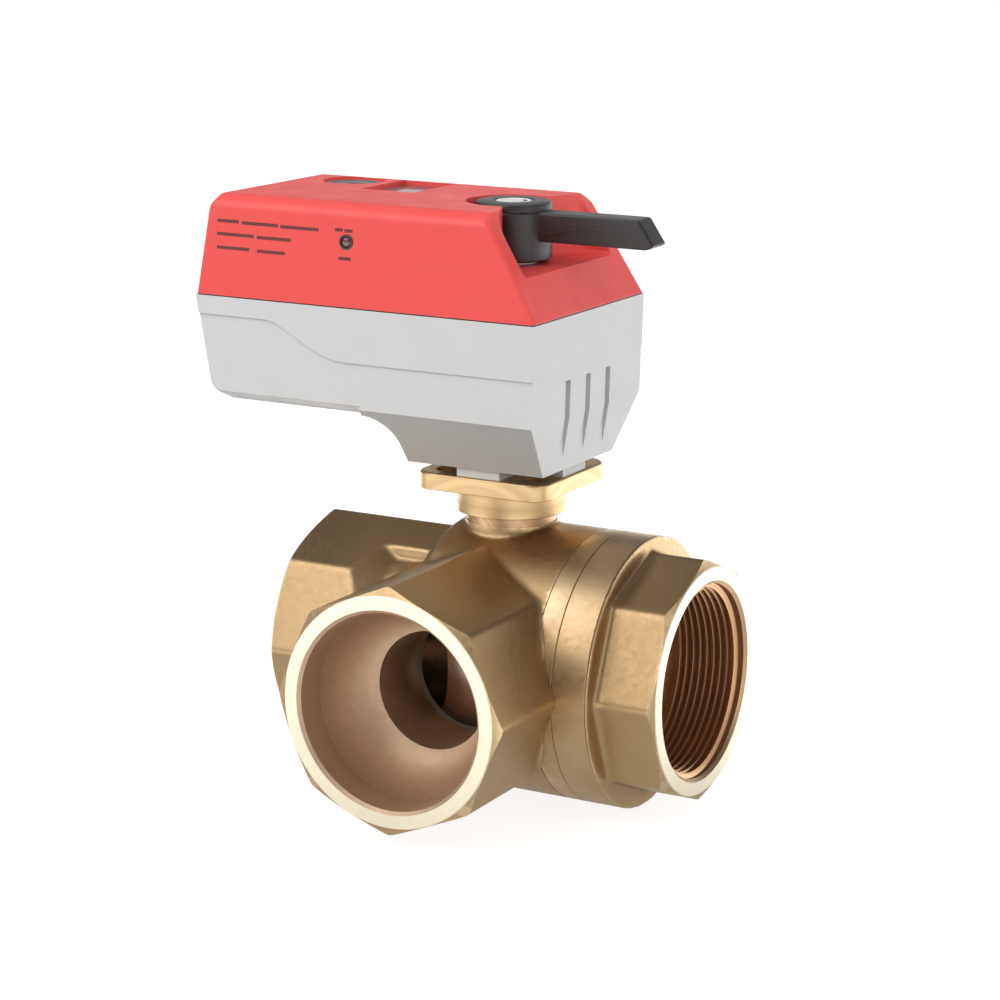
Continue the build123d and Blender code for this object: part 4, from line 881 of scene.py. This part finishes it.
def pocket_tool(name, grow, soften_by=0.0):
    """The fan-shaped pocket as a solid, larger by grow."""
    floor_z, radius = POCKET_FLOOR_Z - grow, POCKET_R + grow
    outline = []
    for step in range(ARC_STEPS + 1):
        angle = FLARE + (2 * pi - 2 * FLARE) * step / ARC_STEPS
        outline.append((radius * cos(angle), radius * sin(angle), floor_z))
    outline += [(x, y, floor_z) for x, y in (
        (FLARE_X - grow, -FLARE_Y - grow), (POCKET_FAR_X, -FLARE_Y - grow),
        (POCKET_FAR_X, FLARE_Y + grow), (FLARE_X - grow, FLARE_Y + grow))]
    tool = prism(name, outline, (0, 0, 30 * MM))
    if soften_by:
        pick_edges(tool, lambda one, other: abs(one.x - other.x) + abs(one.y - other.y) < 0.01 * MM
                   and abs(one.y) > 20 * MM and one.x < 20 * MM)
        bpy.ops.mesh.bevel(offset=3.0 * MM, segments=6, affect="EDGES")
        close_edit()
        pick_edges(tool, lambda one, other: max(one.z, other.z) < floor_z + 0.01 * MM)
        bpy.ops.mesh.bevel(offset=soften_by, segments=4, affect="EDGES")
        close_edit()
    return tool


# %% [markdown]
# The inside of the cover follows its outside at one wall's thickness, less the room that
# the pocket, the button's cup and the screw bosses take. Those are cut out of the
# inner shape first, so one last cut leaves all their walls standing.

# %% Hollow the cover and cut its openings
button_low, button_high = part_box("release_button")
button_x, button_y = (button_low.x + button_high.x) / 2, (button_low.y + button_high.y) / 2
button_r = (button_high.x - button_low.x) / 2
window_low, window_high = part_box("service_window")
lens_low, lens_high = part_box("status_lens")
lens_spot = (lens_low + lens_high) / 2
CUP_R = button_r + 0.4 * MM
CUP_FLOOR_Z = 134 * MM
SCREW_PLACES = [(x * MM, y * MM, 0) for x in (-78, -38.5) for y in (-27.5, 27.5)]
FRAME = 1.0 * MM
window_hole_low = (window_low.x + FRAME - 0.1 * MM, window_low.y + FRAME - 0.1 * MM, 130 * MM)
window_hole_high = (window_high.x - FRAME + 0.1 * MM, window_high.y + 0.15 * MM, TOP_Z + MM)

hollow = cover_form("hollow", WALL)
carve(hollow, pocket_tool("pocket_walls", 2.3 * MM))
carve(hollow, rod("cup_walls", "Z", CUP_FLOOR_Z - 2 * MM, TOP_Z, CUP_R + 2 * MM,
                  centre=(button_x, button_y, 0)))
for screw_at in SCREW_PLACES:
    carve(hollow, rod("boss", "Z", SEAM_Z - 5 * MM, TOP_Z, 3.4 * MM, 32, centre=screw_at))
carve(red_cover, hollow)
carve(red_cover, pocket_tool("pocket", 0.0, 1.4 * MM))
carve(red_cover, rod("cup", "Z", CUP_FLOOR_Z, TOP_Z + MM, CUP_R, centre=(button_x, button_y, 0)))
carve(red_cover, rod("plunger_hole", "Z", CUP_FLOOR_Z - 5 * MM, CUP_FLOOR_Z + MM, 3.3 * MM, 48,
                     centre=(button_x, button_y, 0)))
carve(red_cover, rod("spindle_hole", "Z", POCKET_FLOOR_Z - 5 * MM, POCKET_FLOOR_Z + MM, 7.85 * MM, 64))
carve(red_cover, block("window_hole", window_hole_low, window_hole_high))
carve(red_cover, rod("lens_hole", "Y", -40 * MM, -28 * MM, 1.75 * MM, 32,
                     centre=(lens_spot.x, 0, lens_spot.z)))
for screw_at in SCREW_PLACES:
    carve(red_cover, rod("screw_hole", "Z", SEAM_Z - MM, 121 * MM, 1.52 * MM, 24, centre=screw_at))
use(red_cover, "BEVEL", width=0.35 * MM, segments=2, limit_method="ANGLE", angle_limit=radians(55))
smooth(red_cover, 30)
finish_piece(red_cover, "root", "cover_plastic", "upper_cover")

# %% [markdown]
# ## The hand lever
# The lever is a round hub with a rolled rim and a flat arm that ends in a slanted tip.
# The hub is turned. The arm is a side outline pushed to its width, with its edges
# bevelled, and a shallow panel is sunk into both sides, leaving a raised tip.

# %% Turn the hub and shape the arm
ARM_HALF = 4.5 * MM
hub_section = along_z([(123.4, 7.52), (123.4, 11.1), (124.0, 11.7), (137.9, 11.7), (138.25, 11.45),
                       (138.6, 11.7), (139.9, 11.7), (140.6, 11.35), (140.95, 10.8), (141.1, 10.1),
                       (141.1, 6.3), (140.95, 6.1), (140.8, 5.32), (139.7, 5.32), (139.7, 4.0),
                       (131.05, 4.0), (131.05, 7.52), (123.4, 7.52)])
hand_lever = turned("hand_lever", "Z", hub_section)
arm_line = [(9 * MM, -ARM_HALF, z) for z in (129.5 * MM, 138.4 * MM)]
arm_line += [(x * MM, -ARM_HALF, z * MM) for x, z in ((43.8, 138.4), (49.0, 130.7), (46.5, 129.5))]
arm = prism("arm", arm_line, (0, 2 * ARM_HALF, 0))
pick_edges(arm, lambda one, other: min(one.x, other.x) > 9.5 * MM or abs(one.x - other.x) > MM)
bpy.ops.mesh.bevel(offset=0.8 * MM, segments=3, affect="EDGES")
close_edit()

# %% [markdown]
# The sunken panel is a thin slab whose outline runs from the hub to a slanted end. It is
# cut 0.35 mm deep into each side, which is enough to catch a line of light.

# %% Sink the side panels and join the lever
PANEL_DEPTH = 0.35 * MM
for side in (-1, 1):
    panel_y = side * (ARM_HALF - PANEL_DEPTH)
    panel_line = [(x * MM, panel_y, z * MM) for x, z in
                  ((24.0, 134.2), (38.7, 134.2), (42.1, 130.3), (42.9, 128.5), (11.0, 128.5), (11.0, 131.0))]
    carve(arm, prism("panel", panel_line, (0, side * 2 * MM, 0)))
carve(hand_lever, arm, "UNION")
smooth(hand_lever, 30)
finish_piece(hand_lever, "drive", "lever_plastic", "override_lever")

# %% [markdown]
# ## The dial
# A white disc sits in the hub under the lever's rim, with a scale of plain ticks. The
# disc is turned with a raised edge. Each tick is a bevelled sliver made once and copied
# round the dial.

# %% Turn the dial and lay its ticks
dial_low, dial_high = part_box("dial_cap")
DIAL_R = dial_high.x
DIAL_RIM_R = DIAL_R - 0.02 * MM
dial_section = [(dial_low.z, 0), (dial_low.z, DIAL_RIM_R), (dial_high.z - 0.15 * MM, DIAL_RIM_R),
                (dial_high.z, DIAL_R - 0.2 * MM), (dial_high.z, DIAL_R - 0.7 * MM),
                (dial_high.z - 0.2 * MM, DIAL_R - 0.8 * MM), (dial_high.z - 0.2 * MM, 0)]
dial_face = turned("dial_face", "Z", dial_section, steps=64)
smooth(dial_face)
finish_piece(dial_face, "drive", "dial_plastic", "dial_cap")
TICK_COUNT = 9
tick = block("dial_tick", (3.0 * MM, -0.14 * MM, dial_high.z - 0.24 * MM),
             (4.2 * MM, 0.14 * MM, dial_high.z - 0.13 * MM))
use(tick, "BEVEL", width=0.04 * MM, segments=1)
for place in range(TICK_COUNT):
    one = tick.copy()
    one.data = tick.data.copy()
    one.name = one.data.name = f"dial_tick_{place + 1}"
    scene_collection.objects.link(one)
    one.data.transform(Matrix.Rotation(radians(-60 + 15 * place), 4, "Z"))
    finish_piece(one, "drive", "lever_plastic")
bpy.data.objects.remove(tick)

# %% [markdown]
# ## The release button
# On the real valve the button lets the gears go, so that the lever turns by hand. It has
# a dished top with a screwdriver slot and a ring groove, and a stem inside its spring.

# %% Turn the button and cut its slot
button_z = button_high.z / MM
stem_low_z = button_low.z / MM
button_section = along_z([(stem_low_z, 0), (stem_low_z, 2.6), (stem_low_z + 0.4, 3.0), (button_z - 2.45, 3.0),
                          (button_z - 2.45, 9.3), (button_z - 2.2, 9.6), (button_z - 0.5, 9.6),
                          (button_z - 0.1, 9.2), (button_z, 8.6), (button_z, 6.9), (button_z - 0.3, 6.6),
                          (button_z - 0.3, 6.2), (button_z, 5.9), (button_z - 0.25, 0)])
push_button = turned("push_button", "Z", button_section, centre=(button_x, button_y, 0))
carve(push_button, block("slot_tool", (button_x - 2.6 * MM, button_y - 0.7 * MM, button_high.z - 0.9 * MM),
                         (button_x + 2.6 * MM, button_y + 0.7 * MM, button_high.z + MM)))
smooth(push_button)
finish_piece(push_button, "release", "button_plastic", "release_button")

# %% [markdown]
# ## The service window and the status light
# The smoked window lies a little below the cover's top, with a raised rib along each
# side. The light is a domed lens in a thin ring that stands proud of the cover.

# %% Window and light
window_pane = softened("window_pane", "service_window", 0.3 * MM)
finish_piece(window_pane, "root", "window_plastic", "service_window")
cover_face_y = lens_low.y
dome_section = [(lens_high.y, 0), (lens_high.y, 1.68 * MM), (cover_face_y + 0.1 * MM, 1.68 * MM),
                (cover_face_y - 0.25 * MM, 1.2 * MM), (cover_face_y - 0.4 * MM, 0.6 * MM),
                (cover_face_y - 0.45 * MM, 0)]
status_dome = turned("status_dome", "Y", dome_section, centre=(lens_spot.x, 0, lens_spot.z), steps=32)
smooth(status_dome, 60)
finish_piece(status_dome, "root", "lens_plastic", "status_lens")
ring_section = [(cover_face_y + 0.3 * MM, 1.7 * MM), (cover_face_y - 0.35 * MM, 1.72 * MM),
                (cover_face_y - 0.42 * MM, 1.95 * MM), (cover_face_y - 0.3 * MM, 2.3 * MM),
                (cover_face_y + 0.3 * MM, 2.4 * MM), (cover_face_y + 0.3 * MM, 1.7 * MM)]
status_ring = turned("status_ring", "Y", ring_section, centre=(lens_spot.x, 0, lens_spot.z), steps=48)
smooth(status_ring, 40)
finish_piece(status_ring, "root", "lever_plastic")

# %% [markdown]
# ## Printed marks
# The real cover carries a printed label. Its words are left out: rows of plain bars
# stand in their places, each a thin slab of ink that follows the sloping
# wall, bevelled so that its edge is soft.

# %% Print the rows of bars
INK_PROUD = 0.05 * MM
INK_ROOT = 0.1 * MM
COVER_LEAN = (cover_high.y - 33.3 * MM) / (138.6 * MM - SEAM_Z)
# left end, right end and height of each bar, in millimetres
INK_BARS = [(-84.5, -76.6, 132.9), (-75.6, -62.5, 132.7), (-61.6, -47.9, 132.5), (-84.5, -71.0, 128.9),
            (-69.9, -57.6, 128.7), (-84.3, -72.4, 124.8), (-69.6, -59.5, 124.6), (-40.6, -36.2, 124.6),
            (-42.2, -39.5, 133.0), (-38.9, -36.1, 132.9)]
BAR_TALL = 1.0 * MM


def wall_y(height):
    """Where the cover's front wall stands at a height."""
    return -(cover_high.y - (height - SEAM_Z) * COVER_LEAN)


ink = moulding("printing_ink", (0.16, 0.022, 0.022), (0.13, 0.018, 0.018), (0.5, 0.6), wear=0.1, dusty=0.05)
for number, (left, right_end, height) in enumerate(INK_BARS):
    low_z, high_z = height * MM - BAR_TALL / 2, height * MM + BAR_TALL / 2
    low_y, high_y = wall_y(low_z) + INK_ROOT, wall_y(high_z) + INK_ROOT
    corners = [(left * MM, low_y, low_z), (right_end * MM, low_y, low_z),
               (right_end * MM, high_y, high_z), (left * MM, high_y, high_z)]
    bar = prism(f"ink_bar_{number + 1}", corners, (0, -INK_ROOT - INK_PROUD, 0))
    use(bar, "BEVEL", width=0.02 * MM, segments=1)
    finish_piece(bar, "root", "cover_plastic", material=ink)

# %% [markdown]
# ## Studio
# A pale floor, a white surround and three soft boxes. Metal goes flat when all that it
# reflects is white, so only the camera sees floor and surround as white. The metal sees
# grey ones, bright low down behind and far in front. Matt parts get some fill light.
# No real studio does this, so the valve looks a little different in ordinary light.

# %% Floor and surround
FLOOR_GAP = 0.6 * MM
deselect()
bpy.ops.mesh.primitive_plane_add(size=8, location=(0, 0, cad_box[0].z - FLOOR_GAP))
studio_floor = named("studio_floor")
floor_paint, floor_tree, floor_shader = blank("floor_paint")
floor_shader.inputs["Base Color"].default_value = (0.34, 0.34, 0.34, 1)
floor_shader.inputs["Roughness"].default_value = 0.8
floor_shader.inputs["Emission Color"].default_value = (1, 1, 1, 1)
seen_floor = node(floor_tree, "LightPath").outputs["Is Camera Ray"]
floor_at = node(floor_tree, "SeparateXYZ", {0: node(floor_tree, "TexCoord").outputs["Object"]}).outputs["Y"]
far_glow = maths(floor_tree, "MAXIMUM", spread(floor_tree, floor_at, 0.0, 0.12, 0.0, 2.2),
                 spread(floor_tree, floor_at, -0.10, -0.24, 0.45, 1.6))
mirrored = node(floor_tree, "LightPath").outputs["Is Glossy Ray"]
floor_tree.links.new(maths(floor_tree, "MAXIMUM", maths(floor_tree, "MULTIPLY", seen_floor, 0.85),
                           maths(floor_tree, "MULTIPLY", far_glow, mirrored)),
                     floor_shader.inputs["Emission Strength"])
studio_floor.data.materials.append(floor_paint)

scene = bpy.context.scene
world = bpy.data.worlds.new("surround")
scene.world = world
world.use_nodes = True
sky = world.node_tree
backdrop = sky.nodes["Background"]
view_way = node(sky, "TexCoord").outputs["Generated"]
height = node(sky, "SeparateXYZ", {0: view_way}).outputs["Z"]
rear = node(sky, "VectorMath", {0: view_way, 1: (0.45, 0.89, 0.0)}, operation="DOT_PRODUCT").outputs["Value"]
band = maths(sky, "MULTIPLY", spread(sky, height, 0.34, 0.10), spread(sky, rear, 0.3, 0.8))
glow = maths(sky, "ADD", 0.16, maths(sky, "MULTIPLY", band, 1.9))
matt = node(sky, "LightPath").outputs["Is Diffuse Ray"]
glow = maths(sky, "ADD", glow, maths(sky, "MULTIPLY", matt, 0.44))
seen = node(sky, "LightPath").outputs["Is Camera Ray"]
sky.links.new(maths(sky, "ADD", maths(sky, "MULTIPLY", glow, maths(sky, "SUBTRACT", 1.0, seen)), seen),
              backdrop.inputs["Strength"])
backdrop.inputs["Color"].default_value = (1, 1, 1, 1)
scene.view_settings.view_transform = "Standard"

# %% Soft boxes
middle = (cad_box[0] + cad_box[1]) / 2


def softbox(name, way, distance, width, height, power):
    """A rectangular light that faces the middle of the valve."""
    at = middle + Vector(way).normalized() * distance
    deselect()
    bpy.ops.object.light_add(type="AREA", location=at)
    lamp = bpy.context.object
    lamp.name = name
    lamp.rotation_euler = (middle - at).to_track_quat("-Z", "Y").to_euler()
    lamp.data.shape = "RECTANGLE"
    lamp.data.size, lamp.data.size_y = width, height
    lamp.data.energy = power
    return lamp


softbox("key_box", (-0.50, -0.78, 0.80), 1.1, 1.3, 1.05, 9.3)
softbox("side_box", (1.0, -0.35, 0.35), 0.95, 0.5, 0.7, 1.4)
softbox("top_box", (0.25, 0.1, 1.0), 0.9, 0.5, 0.5, 0.2)

# %% [markdown]
# ## Camera
# The camera looks down a little from the front right, with a long lens that keeps the
# octagons' parallel edges nearly parallel.

# %% Camera
AZIMUTH, ELEVATION, ROLL = radians(28.709), radians(13.263), radians(0.343)
CAMERA_AT = Vector((401.6, -740.81, 246.82)) * MM
deselect()
bpy.ops.object.camera_add(location=CAMERA_AT)
camera = bpy.context.object
back = Vector((sin(AZIMUTH) * cos(ELEVATION), -cos(AZIMUTH) * cos(ELEVATION), sin(ELEVATION)))
right = (-back).cross(AXES["Z"]).normalized()
up = right.cross(-back)
right, up = right * cos(ROLL) + up * sin(ROLL), up * cos(ROLL) - right * sin(ROLL)
camera.matrix_world = Matrix((right, up, back)).transposed().to_4x4()
camera.location = CAMERA_AT
camera.data.lens = 101.06
camera.data.sensor_width = 36
camera.data.clip_start = 0.01
scene.camera = camera
